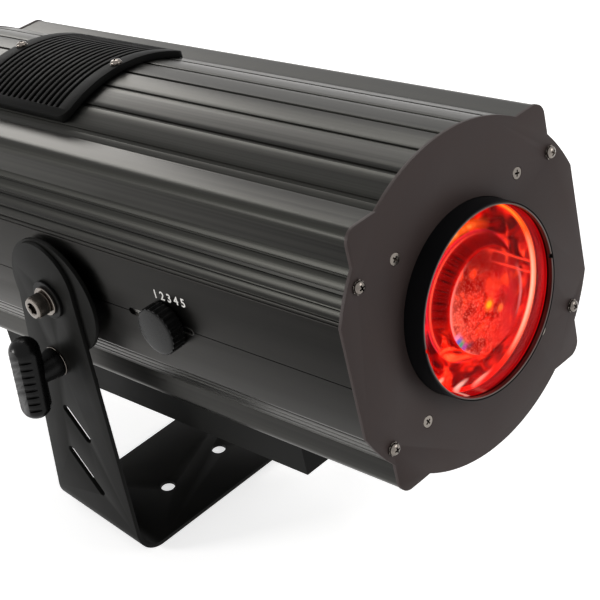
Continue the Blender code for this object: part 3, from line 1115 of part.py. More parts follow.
def build_sockets(face, signal_xs):
    inlet = block("power_inlet", (2 * INLET_HALF_WIDTH, INLET_DEPTH, 2 * INLET_HALF_HEIGHT),
                  (INLET_X, face - INLET_DEPTH / 2, SOCKET_HEIGHT), plastic)
    boolean(inlet, block("inlet_well", (2 * (INLET_HALF_WIDTH - INLET_LIP), INLET_DEPTH,
                         2 * (INLET_HALF_HEIGHT - INLET_LIP)),
                         (INLET_X, face - INLET_DEPTH / 2 + 0.003, SOCKET_HEIGHT), None, head, (0, 0, 0),
                         True))
    case = block("power_switch_case", (2 * SWITCH_HALF_WIDTH, SWITCH_DEPTH, 2 * SWITCH_HALF_HEIGHT),
                 (SWITCH_X, face - SWITCH_DEPTH / 2, SOCKET_HEIGHT), plastic)
    boolean(case, block("switch_well", (2 * (SWITCH_HALF_WIDTH - 0.0012), SWITCH_DEPTH,
                        2 * (SWITCH_HALF_HEIGHT - 0.0012)),
                        (SWITCH_X, face - SWITCH_DEPTH / 2 + 0.004, SOCKET_HEIGHT), None, head, (0, 0, 0),
                        True))
    turn = frame("rocker_axis", head, (SWITCH_X, face - 0.0035, SOCKET_HEIGHT), (ROCKER_TILT, 0, 0))
    reach = SWITCH_HALF_HEIGHT - 0.0012 - 3 * RUN
    outline = [(-0.0030, -reach * 0.6), (0.0030, -reach), (0.0038, 0.0), (0.0030, reach),
               (-0.0030, reach * 0.6)]
    extruded("power_rocker", [outline], 2 * (SWITCH_HALF_WIDTH - 0.0012 - RUN), (0, 0, 0), SIDE_VIEW,
             plastic, turn)
    depth = SIGNAL_DEPTH
    for i, x in enumerate(signal_xs):
        turned("signal_socket_%d" % (i + 1), [(0, -depth + 0.003), (SIGNAL_RADIUS - 0.0025, -depth + 0.003),
               (SIGNAL_RADIUS - 0.0025, 0), (SIGNAL_RADIUS, 0), (SIGNAL_RADIUS, -depth), (0, -depth)],
               (x, face, SOCKET_HEIGHT), "+Y", plastic, head, 14)


def build_handle(face):
    """Bent rod handle on two turned feet."""
    bend = 0.012
    out = face + HANDLE_REACH
    start = face + GAP + HANDLE_FOOT_HEIGHT
    curve = bpy.data.curves.new("rear_handle", "CURVE")
    curve.dimensions = "3D"
    curve.bevel_depth = HANDLE_RADIUS
    curve.bevel_resolution = 2
    curve.use_fill_caps = True
    half = HANDLE_HALF_WIDTH
    corner = [(-half + bend - bend * math.cos(a), out - bend + bend * math.sin(a))
              for a in (math.pi / 2 * i / 5 for i in range(6))]
    route = [(-half, start - 0.001)] + corner + [(-x, y) for x, y in reversed(corner)] + [(half, start - 0.001)]
    spline = curve.splines.new("POLY")
    spline.points.add(len(route) - 1)
    for point, (x, y) in zip(spline.points, route):
        point.co = (x, y, 0.0, 1.0)
    bent = bpy.data.objects.new("handle_route", curve)
    bpy.context.scene.collection.objects.link(bent)
    evaluated = bent.evaluated_get(bpy.context.evaluated_depsgraph_get())
    bm = bmesh.new()
    bm.from_mesh(bpy.data.meshes.new_from_object(evaluated))
    bmesh.ops.remove_doubles(bm, verts=bm.verts, dist=0.000001)
    bpy.data.objects.remove(bent, do_unlink=True)
    handle = from_bmesh(bm, "rear_handle", steel_black, head, (0, 0, HANDLE_HEIGHT), (0, 0, 0), False)
    for i, x in enumerate((-half, half)):
        foot = rod("handle_foot_%d" % (i + 1), HANDLE_FOOT_RADIUS, HANDLE_FOOT_HEIGHT,
                   (x, face + GAP, HANDLE_HEIGHT), "+Y", None, head, 16, True)
        boolean(handle, foot, "UNION")


build_bracket()
build_pivots()
build_quadrant()
build_clamp()
build_housing()
build_plates()
build_lens_tube()
build_vent_cover()
build_focus()
build_tray()
build_colour_wheel()
build_light_engine()
build_driver_box()
build_rear()
print("followspot built:", len([o for o in parts.objects if o.type == "MESH"]), "pieces")
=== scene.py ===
# Followspot on its bent bracket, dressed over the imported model
from math import acos, asin, atan2, cos, hypot, pi, radians, sin
import bpy
from mathutils import Euler, Matrix, Vector


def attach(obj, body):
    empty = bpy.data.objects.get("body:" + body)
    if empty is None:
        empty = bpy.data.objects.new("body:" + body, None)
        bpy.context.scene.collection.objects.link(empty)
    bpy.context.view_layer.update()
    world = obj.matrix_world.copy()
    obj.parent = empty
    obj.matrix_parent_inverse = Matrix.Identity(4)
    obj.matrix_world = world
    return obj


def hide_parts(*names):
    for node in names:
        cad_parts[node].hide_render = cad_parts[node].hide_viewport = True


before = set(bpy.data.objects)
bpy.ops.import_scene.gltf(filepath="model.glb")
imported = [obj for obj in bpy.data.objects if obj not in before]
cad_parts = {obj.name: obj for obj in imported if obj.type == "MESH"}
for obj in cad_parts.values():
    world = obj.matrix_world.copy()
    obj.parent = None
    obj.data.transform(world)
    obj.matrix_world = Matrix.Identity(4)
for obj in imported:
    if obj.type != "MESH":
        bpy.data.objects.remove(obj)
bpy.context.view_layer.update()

quarter = pi / 2
gap = 0.0003                        # the space between two neighbours
weld = 0.000002                     # points closer than this become one
through = 0.02                      # length of a cutter that passes through a thin wall
upright = (0, 0, 0)                 # turns for a piece that is drawn with its top along +Z
toFront, toRear = (quarter, 0, 0), (-quarter, 0, 0)
toLeft, toRight = (0, -quarter, 0), (0, quarter, 0)
headFit = {
    "tilt": radians(10.5),     # the beam rises by this much
    "pivotHeight": 0.212,
    "pivotFromFront": 0.2745,       # pivot behind the front plate's face
    "pivotDrop": 0.007,             # pivot below the body's centre line
}
pivotY, pivotZ = headFit["pivotFromFront"], -headFit["pivotDrop"]
headPlace = (Matrix.Translation((0, 0, headFit["pivotHeight"]))
             @ Matrix.Rotation(-headFit["tilt"], 4, "X")
             @ Matrix.Translation((0, -pivotY, -pivotZ)))


# Modelling steps that many pieces share

def selectOnly(*pieces):
    if bpy.context.object and bpy.context.object.mode != "OBJECT":
        bpy.ops.object.mode_set(mode="OBJECT")
    bpy.ops.object.select_all(action="DESELECT")
    for piece in pieces:
        piece.select_set(True)
    if pieces:
        bpy.context.view_layer.objects.active = pieces[0]


def newest(name):
    bpy.context.object.name = name
    return bpy.context.object


def closeMesh():
    bpy.ops.mesh.select_all(action="SELECT")
    bpy.ops.mesh.remove_doubles(threshold=weld)
    bpy.ops.mesh.normals_make_consistent(inside=False)
    bpy.ops.object.mode_set(mode="OBJECT")


def pickPoints(piece, test):
    selectOnly(piece)
    mesh = piece.data
    for part in (*mesh.polygons, *mesh.edges):
        part.select = False
    for point in mesh.vertices:
        point.select = test(point.co)
    bpy.ops.object.mode_set(mode="EDIT")
    bpy.ops.mesh.select_mode(type="VERT")


def traceLine(name, points):
    selectOnly()
    bpy.ops.mesh.primitive_plane_add(size=0.002)
    piece = newest(name)
    bpy.ops.object.mode_set(mode="EDIT")
    bpy.ops.mesh.select_mode(type="VERT")
    bpy.ops.mesh.select_all(action="SELECT")
    bpy.ops.mesh.merge(type="CENTER")
    bpy.ops.transform.translate(value=points[0])
    for here, there in zip(points, points[1:]):
        step = Vector(there) - Vector(here)
        bpy.ops.mesh.extrude_region_move(TRANSFORM_OT_translate={"value": step})
    bpy.ops.mesh.select_all(action="SELECT")
    return piece


def thickSheet(name, points, depth):
    piece = traceLine(name, points)                 # an outline, filled and given thickness
    bpy.ops.mesh.edge_face_add()
    bpy.ops.mesh.extrude_region_move(TRANSFORM_OT_translate={"value": depth})
    closeMesh()
    return piece


def spunShape(name, profile, steps=64, ringShaped=False):
    points = [(radius, 0, height) for radius, height in profile]
    if ringShaped:
        points.append(points[0])
    piece = traceLine(name, points)                 # a half section, spun about the Z axis
    bpy.ops.mesh.spin(steps=steps, angle=2 * pi, center=(0, 0, 0), axis=(0, 0, 1))
    closeMesh()
    return piece


def applyPlace():
    bpy.ops.object.transform_apply(location=True, rotation=True, scale=True)


def smallBlock(name, size, place):
    selectOnly()
    bpy.ops.mesh.primitive_cube_add(size=1, location=place)
    bpy.context.object.scale = size
    applyPlace()
    return newest(name)


def roundBar(name, radius, length, place, turn=upright, sides=32):
    selectOnly()
    bpy.ops.mesh.primitive_cylinder_add(vertices=sides, radius=radius, depth=length, location=place,
                                        rotation=turn)
    applyPlace()
    return newest(name)


def applyStep(piece, kind, **settings):
    selectOnly(piece)
    step = piece.modifiers.new(kind.lower(), kind)
    for name, value in settings.items():
        setattr(step, name, value)
    bpy.ops.object.modifier_apply(modifier=step.name)


def cutWith(piece, *cutters, operation="DIFFERENCE"):
    for cutter in cutters:
        applyStep(piece, "BOOLEAN", object=cutter, operation=operation, solver="EXACT")
        bpy.data.objects.remove(cutter, do_unlink=True)
    return piece


def drill(piece, radius, length, places, turn=upright, sides=48):
    for place in places:
        cutWith(piece, roundBar("drill", radius, length, place, turn, sides))


def repeat(piece, count, step):
    applyStep(piece, "ARRAY", count=count, use_relative_offset=False, use_constant_offset=True,
              constant_offset_displace=step)


def roundEdges(piece, width, segments=2, sharper=40):
    applyStep(piece, "BEVEL", width=width, segments=segments, limit_method="ANGLE",
              angle_limit=radians(sharper), use_clamp_overlap=True)


def copyOf(piece, name):
    selectOnly(piece)
    bpy.ops.object.duplicate(linked=False)
    return newest(name)


def joined(name, *pieces):
    selectOnly(*pieces)
    bpy.ops.object.join()
    return newest(name)


def lying(place, turn):
    return Matrix.Translation(place) @ Euler(turn).to_matrix().to_4x4()


def placed(piece, matrix):
    selectOnly(piece)
    piece.matrix_world = matrix
    applyPlace()
    return piece


def finishPiece(piece, finish, nodes=(), place=(0, 0, 0), turn=upright, body="head", smooth=30):
    # Sets the piece down in its body; the two bodies that don't tilt are drawn in the frame's own axes
    tilted = Matrix.Identity(4) if body in ("bracket", "clamp") else headPlace
    placed(piece, tilted @ lying(place, turn))
    piece.data.materials.clear()
    piece.data.materials.append(finishes[finish])
    bpy.ops.object.shade_smooth_by_angle(angle=radians(smooth))
    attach(piece, body)
    if nodes:
        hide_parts(*nodes)


def arcPoints(radius, centre, start, end, count):
    return [(centre[0] + radius * cos(start + (end - start) * i / count),
             centre[1] + radius * sin(start + (end - start) * i / count)) for i in range(count + 1)]


def roundedBox(halfWidth, halfHeight, radius, count=8):
    points = []
    for sideX, sideY, turn in ((1, 1, 0.0), (-1, 1, 0.5), (-1, -1, 1.0), (1, -1, 1.5)):
        centre = (sideX * (halfWidth - radius), sideY * (halfHeight - radius))
        points += arcPoints(radius, centre, turn * pi, (turn + 0.5) * pi, count)
    return points


def toothed(radius, low, teeth, height):
    # An outline with two points on top of each tooth and two in each gap
    points = []
    for i in range(teeth * 4):
        reach = low if i % 4 in (2, 3) else radius
        angle = 2 * pi * i / (teeth * 4)
        points.append((reach * cos(angle), reach * sin(angle), height))
    return points


# Materials

fineShare = 0.3                     # how much a fine noise counts beside the slow one
usualNoise = (0.3, 0.7)             # where a noise's values mostly lie
grainBump, dieBump = 0.35, 0.15     # how strongly the grain and the die lines raise the surface
dieLines = [(0.0016, 0.9, 3.0), (0.009, 1.2, 2.0)]      # width and length of the streaks, their detail
flatSide = (0.1035, 0.1005)         # between these distances from the middle, flat turns to curved


def colour(text):
    parts = [int(text[i:i + 2], 16) / 255 for i in (0, 2, 4)]
    parts = [part / 12.92 if part <= 0.04045 else ((part + 0.055) / 1.055) ** 2.4 for part in parts]
    return (*parts, 1.0)


def addNode(tree, kind, settings=None, links=None):
    node = tree.nodes.new("ShaderNode" + kind)
    for name, value in (settings or {}).items():
        if isinstance(name, str) and hasattr(node, name):
            setattr(node, name, value)
        else:
            node.inputs[name].default_value = value
    for name, source in (links or {}).items():
        tree.links.new(source, node.inputs[name])
    return node


def emptyTree(owner):
    owner.use_nodes = True
    owner.node_tree.nodes.clear()
    return owner.node_tree


def startMaterial(name, settings):
    material = bpy.data.materials.new(name)
    tree = emptyTree(material)
    shader = addNode(tree, "BsdfPrincipled", settings)
    addNode(tree, "OutputMaterial", {}, {"Surface": shader.outputs["BSDF"]})
    return material, tree, shader


def headCoordinates(tree, scale=(1, 1, 1)):
    # Object coordinates, turned back to the body's own axes and centred on the lens
    back = headPlace.inverted()
    place = addNode(tree, "TexCoord")
    turned = addNode(tree, "Mapping", {"Location": back.translation, "Rotation": back.to_euler()},
                     {"Vector": place.outputs["Object"]})
    return addNode(tree, "Mapping", {"Scale": scale}, {"Vector": turned.outputs["Vector"]}).outputs["Vector"]


def ramp(tree, source, stops):
    stops = list(stops)
    node = addNode(tree, "ValToRGB", {}, {"Fac": source})
    elements = node.color_ramp.elements
    while len(elements) < len(stops):
        elements.new(0.5)
    for element, (place, tint) in zip(elements, stops):
        element.position = place
        element.color = colour(tint)
    return node.outputs["Color"]


def between(tree, source, low, high, newLow=0.0, newHigh=1.0):
    return addNode(tree, "MapRange", {"From Min": low, "From Max": high, "To Min": newLow,
                                      "To Max": newHigh}, {"Value": source}).outputs["Result"]


def figure(tree, operation, *values):
    links = {i: value for i, value in enumerate(values) if not isinstance(value, (int, float))}
    fixed = {i: value for i, value in enumerate(values) if isinstance(value, (int, float))}
    return addNode(tree, "Math", {"operation": operation, **fixed}, links).outputs["Value"]


def noise(tree, vector, scale, detail, distortion=0.0):
    return addNode(tree, "TexNoise", {"Scale": scale, "Detail": detail, "Distortion": distortion},
                   {"Vector": vector}).outputs["Fac"]


def mixColour(tree, *values):
    # The values are the share of the second colour, then the two colours
    mixer = addNode(tree, "Mix", {"data_type": "RGBA"})
    sockets = [mixer.inputs["Factor"]] + [socket for socket in mixer.inputs if socket.type == "RGBA"]
    for socket, value in zip(sockets, values):
        if isinstance(value, (float, tuple)):
            socket.default_value = value
        else:
            tree.links.new(value, socket)
    return [socket for socket in mixer.outputs if socket.type == "RGBA"][0]


def mixNoises(tree, slow, fine):
    return addNode(tree, "Mix", {"Factor": fineShare}, {"A": slow, "B": fine}).outputs["Result"]


def linkSkin(tree, shader, tone, mixed, roughness, fine, strength, depth):
    bump = addNode(tree, "Bump", {"Strength": strength, "Distance": depth}, {"Height": fine})
    gloss = between(tree, mixed, *usualNoise, *roughness)
    for name, source in (("Base Color", tone), ("Roughness", gloss), ("Normal", bump.outputs["Normal"])):
        tree.links.new(source, shader.inputs[name])


def grainyFinish(name, settings, tones, grain, depth, roughness, mottle=0.03, stretch=(1, 1, 1)):
    # A fine grain in the surface, with slow changes of tone and of gloss across it
    material, tree, shader = startMaterial(name, settings)
    place = headCoordinates(tree, stretch)
    fine = noise(tree, place, 1 / grain, 2.0)
    mixed = mixNoises(tree, noise(tree, place, 1 / mottle, 3.0), fine)
    tone = ramp(tree, mixed, zip(usualNoise, tones))
    linkSkin(tree, shader, tone, mixed, roughness, fine, grainBump, depth)
    return material


def anodisedExtrusion():
    # The dark skin on bare metal mirrors little face on and much at a slant; die lines run along its length.
    # The curved parts get lighter, stronger streaks as painted sheen, and the flat sides calmer, darker tones
    # as painted shade
    material, tree, shader = startMaterial("blackAnodisedExtrusion", {
        "Metallic": 1.0, "Specular Tint": (1.0, 0.99, 0.975, 1)})
    fine, slow = [noise(tree, headCoordinates(tree, (1 / width, 1 / length, 1 / width)), 1.0, detail)
                  for width, length, detail in dieLines]
    mixed = mixNoises(tree, slow, fine)
    across = addNode(tree, "SeparateXYZ", {}, {"Vector": headCoordinates(tree)}).outputs["X"]
    curved = between(tree, figure(tree, "ABSOLUTE", across), *flatSide)
    # Painted shade on the flat sides and painted sheen on the curved parts, over the die lines
    flatToneAndPaintedShade = ramp(tree, mixed, zip(usualNoise, ("0f0f0e", "1b1a19")))
    curvedToneAndPaintedSheen = ramp(tree, mixed, [(0.34, "0c0c0c"), (0.68, "32322f")])
    tone = mixColour(tree, curved, flatToneAndPaintedShade, curvedToneAndPaintedSheen)
    linkSkin(tree, shader, tone, mixed, (0.27, 0.4), fine, dieBump, 0.00002)
    return material


coats = {       # slot, material, shader, darker and lighter tone, grain, depth, roughness, mottle, stretch
    # Powder coated sheet: the plates' warm dark grey, with a fine orange peel
    "plate": ("black_powder_coat", "powderCoatedPlate", {"Specular IOR Level": 0.2}, ("322928", "3a302e"),
              0.0007, 0.00004, (0.5, 0.62)),
    # Matt black anodised tube: nearly no light comes back
    "tube": ("black_powder_coat", "mattAnodisedTube", {"Specular IOR Level": 0.1}, ("070708", "0b0b0d"),
             0.0006, 0.00002, (0.4, 0.55)),
    # Turned ring round the lens: brighter where the tool cut it
    "ring": ("black_powder_coat", "turnedRing", {"Metallic": 0.9}, ("4c4340", "6a5f5b"),
             0.0005, 0.00001, (0.3, 0.42)),
    # Satin black coat on bent steel: smoother than the plate, and a little cooler
    "bracket": ("black_steel", "satinCoatedSteel", {"Specular IOR Level": 0.06}, ("111110", "171716"),
                0.0006, 0.00002, (0.42, 0.52)),
    # Matt black moulding: the vent cover, which stays dark beside the bright extrusion
    "moulding": ("black_steel", "mattBlackMoulding", {"Specular IOR Level": 0.04}, ("0b0b0b", "111110"),
                 0.0006, 0.00002, (0.5, 0.62)),
    # Nickel plated steel: bright, with fine marks of handling
    "plated": ("zinc_plate", "nickelPlatedSteel", {"Metallic": 1.0}, ("605a55", "8c857e"),
               0.0004, 0.00001, (0.12, 0.24)),
    # Moulded nylon: glossy on the handle, the knob and the rocker, satin on pads and sockets
    "gloss": ("gloss_black_plastic", "glossMouldedNylon", {"Specular IOR Level": 0.14}, ("060606", "0a0a0a"),
              0.0009, 0.00001, (0.22, 0.32)),
    "nylon": ("dark_nylon", "satinMouldedNylon", {"Specular IOR Level": 0.1}, ("0b0b0b", "111111"),
              0.0006, 0.00002, (0.34, 0.46)),
    # Rolled aluminium sheet inside and on the slot's strip
    "aluminium": ("bare_aluminium", "rolledAluminium", {"Metallic": 1.0}, ("8f8d8a", "a9a7a3"),
                  0.0004, 0.00001, (0.28, 0.42), 0.01, (1, 0.08, 1)),
    # Printed circuit board with its solder mask
    "board": ("", "solderMaskBoard", {"IOR": 1.5}, ("123a22", "1b4d2e"),
              0.0008, 0.00002, (0.3, 0.5), 0.006),
    # White ink of the numerals
    "ink": ("black_anodised", "whitePrintInk", {"IOR": 1.5}, ("dcdad6", "efedea"),
            0.0003, 0.00001, (0.45, 0.6)),
    # Smoked acrylic over the display
    "window": ("", "smokedAcrylic", {"IOR": 1.49}, ("050507", "0a0a0d"),
               0.002, 0.000002, (0.04, 0.09)),
}

print("Materials")
finishes = {"extrusion": anodisedExtrusion()}
for coat, (slotName, *recipe) in coats.items():
    finishes[coat] = grainyFinish(*recipe)


# Body: two grooved half shells

shells = {
    "radius": 0.1125, "centreDrop": 0.006, "side": 0.104, "wall": 0.0025, "front": 0.0028, "length": 0.497,
    "lobeX": 0.0868, "lobeZ": 0.088, "fillet": 0.0085, "leastFillet": 0.002,
    "lip": 0.0003, "arcStep": 0.03, "centreGroove": (2.2, 1.0),
    "pivotBore": 0.0053, "pivotReach": 0.24, "cableBore": 0.008, "cablePlace": (0, 0.1486, -0.1065),
    "ventSize": (0.094, 0.103, 0.05), "ventPlace": (0, 0.3475, 0.1025),
}
# Each groove has its angle from straight up in degrees, its width and its depth in mm
topGrooves = [(9.7, 2.4, 1.0), (20.0, 2.6, 1.0), (30.2, 3.0, 1.0)]
halves = [      # piece, CAD node, grooves of the shoulder, height of the seam, way up
    ("upperHalfShell", "housing_upper", [(53.0, 1.5, 0.9), (57.8, 2.4, 1.2), (62.4, 1.3, 0.8),
                                         (65.7, 1.1, 0.8), (67.1, 0.5, 0.5)], -0.0027, 1),
    ("lowerHalfShell", "housing_lower", [(53.6, 1.4, 0.9), (58.2, 2.4, 1.2), (62.6, 1.3, 0.8),
                                         (66.0, 1.3, 0.8)], 0.0033, -1),
]
slot = {        # each sheet has its start, depth, half length, half width and corner radius
    "middle": 0.1695, "height": -0.003, "cut": (-0.115, 0.02, 0.0315, 0.0025, 0.00249),
    "edge": (-0.10405, 0.0014, 0.03142, 0.00242, 0.0024), "opening": (-0.106, 0.006, 0.0311, 0.0021, 0.00209),
    "rearSize": (0.02, 0.06, 0.02), "rearPlace": (-0.104, 0.191, -0.003),
}


def arcTo(path, stop):
    radius, angle = path[-1]
    count = max(1, round((stop - angle) / shells["arcStep"]))
    path += [(radius, angle + (stop - angle) * i / count) for i in range(1, count + 1)]


def arcWithGrooves(radius, start, end, grooves):
    path = [(radius, start)]
    lip = shells["lip"]
    edge = lip / radius
    for middle, width, depth in grooves:
        middle = radians(middle)
        half = width / 2000 / radius
        low = radius - depth / 1000
        arcTo(path, middle - half - edge)
        rim = radius - lip * 0.4
        path += [(rim, middle - half), (low, middle - half + edge), (low, middle + half - edge),
                 (rim, middle + half), (radius, middle + half + edge)]
    arcTo(path, end)
    return path


def fromPolar(path):
    return [(r * sin(a), r * cos(a) - shells["centreDrop"]) for r, a in path]


def mirrored(points):
    return [(-x, z) for x, z in reversed(points)]


def bodyQuarter(inset=0.0, top=(), shoulder=()):
    radius, side, lobeX, lobeZ = (shells[name] - inset for name in ("radius", "side", "lobeX", "lobeZ"))
    fillet = max(shells["fillet"] - inset, shells["leastFillet"])
    crest, start = [], 0.0
    if top:
        width, depth = shells["centreGroove"]
        half = width / 2000 / radius
        start = half + shells["lip"] / radius
        crest = [(radius - depth / 1000, 0.0), (radius - depth / 1000, half)]
    crest += arcWithGrooves(radius, start, acos((lobeZ + shells["centreDrop"]) / radius), top)
    corner = arcPoints(fillet, (lobeX - fillet, lobeZ - fillet), 0.0, quarter, 8)
    flank = arcWithGrooves(radius, asin(lobeX / radius), asin(side / radius), shoulder)
    return fromPolar(crest) + corner[::-1] + fromPolar(flank)


def slotSheet(name, kind):
    x, depth, *sizes = slot[kind]
    line = [(x, slot["middle"] + y, slot["height"] + z) for y, z in roundedBox(*sizes)]
    return thickSheet(name, line, (depth, 0, 0))


def makeShell(name, node, shoulder, seam, sign):
    sizes = shells
    outer = bodyQuarter(0.0, topGrooves, shoulder) + [(sizes["side"], seam)]
    inner = bodyQuarter(sizes["wall"]) + [(sizes["side"] - sizes["wall"], seam)]
    line = mirrored(outer)[:-1] + outer + inner[::-1] + [(-x, z) for x, z in inner[1:]]
    shell = thickSheet(name, [(x, sizes["front"], sign * z) for x, z in line], (0, sizes["length"], 0))
    drill(shell, sizes["pivotBore"], sizes["pivotReach"], [(0, pivotY, pivotZ)], toRight, 32)
    cutWith(shell, slotSheet("focusSlot", "cut"))
    if sign > 0:
        cutWith(shell, smallBlock("ventOpening", sizes["ventSize"], sizes["ventPlace"]))
    else:
        drill(shell, sizes["cableBore"], through, [sizes["cablePlace"]], sides=32)
    finishPiece(shell, "extrusion", [node], smooth=25)


print("Body")
for half in halves:
    makeShell(*half)


# Plates and screws

plates = {
    "outset": 0.0005, "thickness": 0.0025, "edge": 0.0004, "tubeHole": 0.0603, "rearFace": 0.5026,
    "outer": (0.0863, 0.0543), "inner": (0.0551, 0.0551),
    "sink": [(0, 0.0003), (0.0046, 0.0003), (0.0023, -0.002), (0.0023, -0.01), (0, -0.01)],
}
screws = {
    "shank": 0.002, "head": 0.0039, "height": 0.0026, "length": 0.012, "brim": 0.0006,
    "washer": 0.0045, "washerThick": 0.0007, "washerFlat": 0.6, "washerEdge": 0.0001,
    "teeth": 8, "toothLow": 0.86, "toothTip": 0.97,
    "crossArm": 0.0013, "crossReach": 0.0029, "crossDepth": 0.0022, "crossTaper": (0.45, 0.8, 1.0),
    "spins": [0.3, 0.9, 0.1, 0.6],
}


def fourCorners(x, z):
    return [(-x, z), (x, z), (-x, -z), (x, -z)]


outerPlaces = fourCorners(*plates["outer"])
innerPlaces = fourCorners(*plates["inner"])


def makePlate(name, y):
    right = bodyQuarter(-plates["outset"])
    right = right + [(x, -z) for x, z in reversed(right)][:-1]
    line = right + mirrored(right[1:])
    return thickSheet(name, [(x, y, z) for x, z in line], (0, plates["thickness"], 0))


def makeFrontPlate():
    plate = makePlate("frontPlate", 0.0)
    drill(plate, plates["tubeHole"], through, [(0, 0, 0)], toFront, 128)
    drill(plate, screws["shank"] + gap, through, [(x, 0, z) for x, z in outerPlaces], toFront, 24)
    for x, z in innerPlaces:
        sink = spunShape("sink", plates["sink"], 32)
        sink.matrix_world = lying((x, 0, z), toFront)
        cutWith(plate, sink)
    roundEdges(plate, plates["edge"], 3, 50)
    finishPiece(plate, "plate", ["front_plate"])


def crossCutter(top):
    sizes = screws
    arms = []
    for turn in (0, quarter):
        arm = smallBlock("crossArm", (2 * sizes["crossReach"], sizes["crossArm"], 2 * sizes["crossDepth"]),
                         (0, 0, top))
        pickPoints(arm, lambda point: point.z < top)
        bpy.ops.transform.resize(value=sizes["crossTaper"])
        arms.append(placed(arm, Matrix.Rotation(turn, 4, "Z")))
    return arms


def makePanScrew():
    sizes = screws
    under, head, length = gap + sizes["washerThick"], sizes["head"], sizes["length"]
    top, brim, washerTop = under + sizes["height"], sizes["brim"], sizes["washerThick"] * sizes["washerFlat"]
    profile = [(0, top)]
    profile += [(head * sin(a), under + brim + (sizes["height"] - brim) * cos(a))
                for a in (quarter * i / 7 for i in range(1, 8))]
    profile += [(head, under), (sizes["shank"], under), (sizes["shank"], -length), (0, -length)]
    screw = cutWith(spunShape("panScrew", profile, 32), *crossCutter(top))
    line = toothed(sizes["washer"], sizes["washer"] * sizes["toothLow"], sizes["teeth"], gap)
    washer = thickSheet("toothedWasher", line, (0, 0, washerTop))
    # The tips of the teeth are lifted
    tip = sizes["washer"] * sizes["toothTip"]
    pickPoints(washer, lambda point: point.xy.length > tip and point.z > gap * 1.2)
    bpy.ops.transform.translate(value=(0, 0, sizes["washerThick"] - washerTop))
    roundEdges(washer, sizes["washerEdge"], 1)
    return joined("panScrew", screw, washer)


def makeSunkScrew():
    head, shank, length = screws["head"], screws["shank"], screws["length"]
    profile = [(0, 0.0001), (head * 0.6, 0.0), (head - 0.0002, -0.00005), (head, -0.0003),
               (shank, shank - head - 0.0003), (shank, -length), (0, -length)]
    return cutWith(spunShape("sunkScrew", profile, 32), *crossCutter(0.0))


def placeScrew(pattern, name, place, turn, spin, nodes=()):
    screw = placed(copyOf(pattern, name), Matrix.Rotation(spin, 4, "Z"))
    finishPiece(screw, "plated", nodes, place, turn)


print("Plates and screws")
makeFrontPlate()
panScrew = makePanScrew()
sunkScrew = makeSunkScrew()
for index, (x, z) in enumerate(outerPlaces):
    number, spins = str(index + 1), screws["spins"]
    placeScrew(panScrew, "frontPanScrew" + number, (x, 0, z), toFront, spins[index],
               ["front_screw_" + number])
    placeScrew(panScrew, "rearPanScrew" + number, (x, plates["rearFace"], z), toRear, spins[3 - index])
for index, (x, z) in enumerate(innerPlaces):
    placeScrew(sunkScrew, "frontSunkScrew%d" % (index + 1), (x, 0, z), toFront, screws["spins"][index] + 0.4)


# Lens tube, its ring, and the painted glow behind the lens glass

lensTube = {
    "radius": 0.06, "wall": 0.0006, "front": 0.01425, "depth": 0.055, "seatStep": 0.001,
    "seatDepth": 0.0127, "flange": 0.064, "flangeThick": 0.004, "flangeFront": -0.0028, "flangeCorner": 0.006,
    "flangePlay": 0.001, "flangeBore": 0.04, "innerEdge": 0.0001, "outerEdge": 0.0002,
    "ringWidth": 0.0011, "ringHeight": 0.003, "ringSetback": 0.0002, "ringEdge": 0.0003,
    "notch": (0.13, 0.003, 0.004), "lensEdge": 0.001, "frontBulge": 0.004,
}
paintedLensGlow = {
    "wall": 0.0576, "wallTop": 0.0094, "wallFoot": 0.0021, "skin": 0.0005, "floor": -0.001,
    "brim": 0.0007, "brimWidth": 0.001, "paintedCrescentEdge": 0.0556, "cone": 0.0405, "coneSteps": 6, "coneCurve": 1.3,
    "second": 0.0325, "secondTop": 0.0106, "secondRise": 0.0014, "secondDrop": 0.0006,
    "secondThick": 0.0008, "secondEdge": 0.0002, "tonesHalf": 0.032,
    "blend": 0.00005, "redder": (1.38, 0.78, 0.72), "darker": 0.97,
}
bowlNoises = {      # factors along the lens's values, then scale, detail and distortion
    "flames": ([("angle", 2.2), ("radius", 70.0), ("y", 60.0)], 1.2, 4.0, 1.2),
    "lines": ([("angle", 1.5), ("y", 900.0)], 1.0, 2.0),
    "ribs": ([("angle", 1.0)], 16.0, 1.0),
}
secondNoises = {"dots": 0.0013, "grains": 0.0021, "clouds": 0.012}         # sizes in metres


def makeLensTube():
    sizes = lensTube
    radius, front, depth = sizes["radius"], sizes["front"], sizes["depth"]
    bore = radius - sizes["wall"]
    seat, step = bore - sizes["seatStep"], front - sizes["seatDepth"]
    fine, rim = sizes["innerEdge"], sizes["outerEdge"]
    profile = [(bore, front - fine), (bore + fine, front), (radius - rim, front), (radius, front - rim),
               (radius, -depth), (seat, -depth), (seat, step), (bore, step)]
    tube = spunShape("lensTubeBarrel", profile, 128, True)
    box = roundedBox(sizes["flange"], sizes["flange"], sizes["flangeCorner"])
    flange = thickSheet("flange", [(x, y, sizes["flangeFront"]) for x, y in box],
                        (0, 0, -sizes["flangeThick"]))
    drill(flange, seat + sizes["flangePlay"], sizes["flangeBore"], [(0, 0, 0)], sides=96)
    finishPiece(joined("lensTubeBarrel", tube, flange), "tube", ["lens_tube"], turn=toFront)
    edge, top, outer = sizes["ringEdge"], front - sizes["ringSetback"], bore - gap
    inner, low = outer - sizes["ringWidth"], top - sizes["ringHeight"]
    profile = [(inner, top - edge), (inner + edge, top), (outer - edge, top), (outer, top - edge),
               (outer, low), (inner, low)]
    ring = spunShape("lensRetainingRing", profile, 128, True)
    cutWith(ring, smallBlock("notches", sizes["notch"], (0, 0, top)))
    finishPiece(ring, "ring", ["lens_ring"], turn=toFront)


def domeLine(radius, rise, base, count=14):
    return [(radius * i / count, base + rise * (1 - (i / count) ** 2)) for i in range(count + 1)]


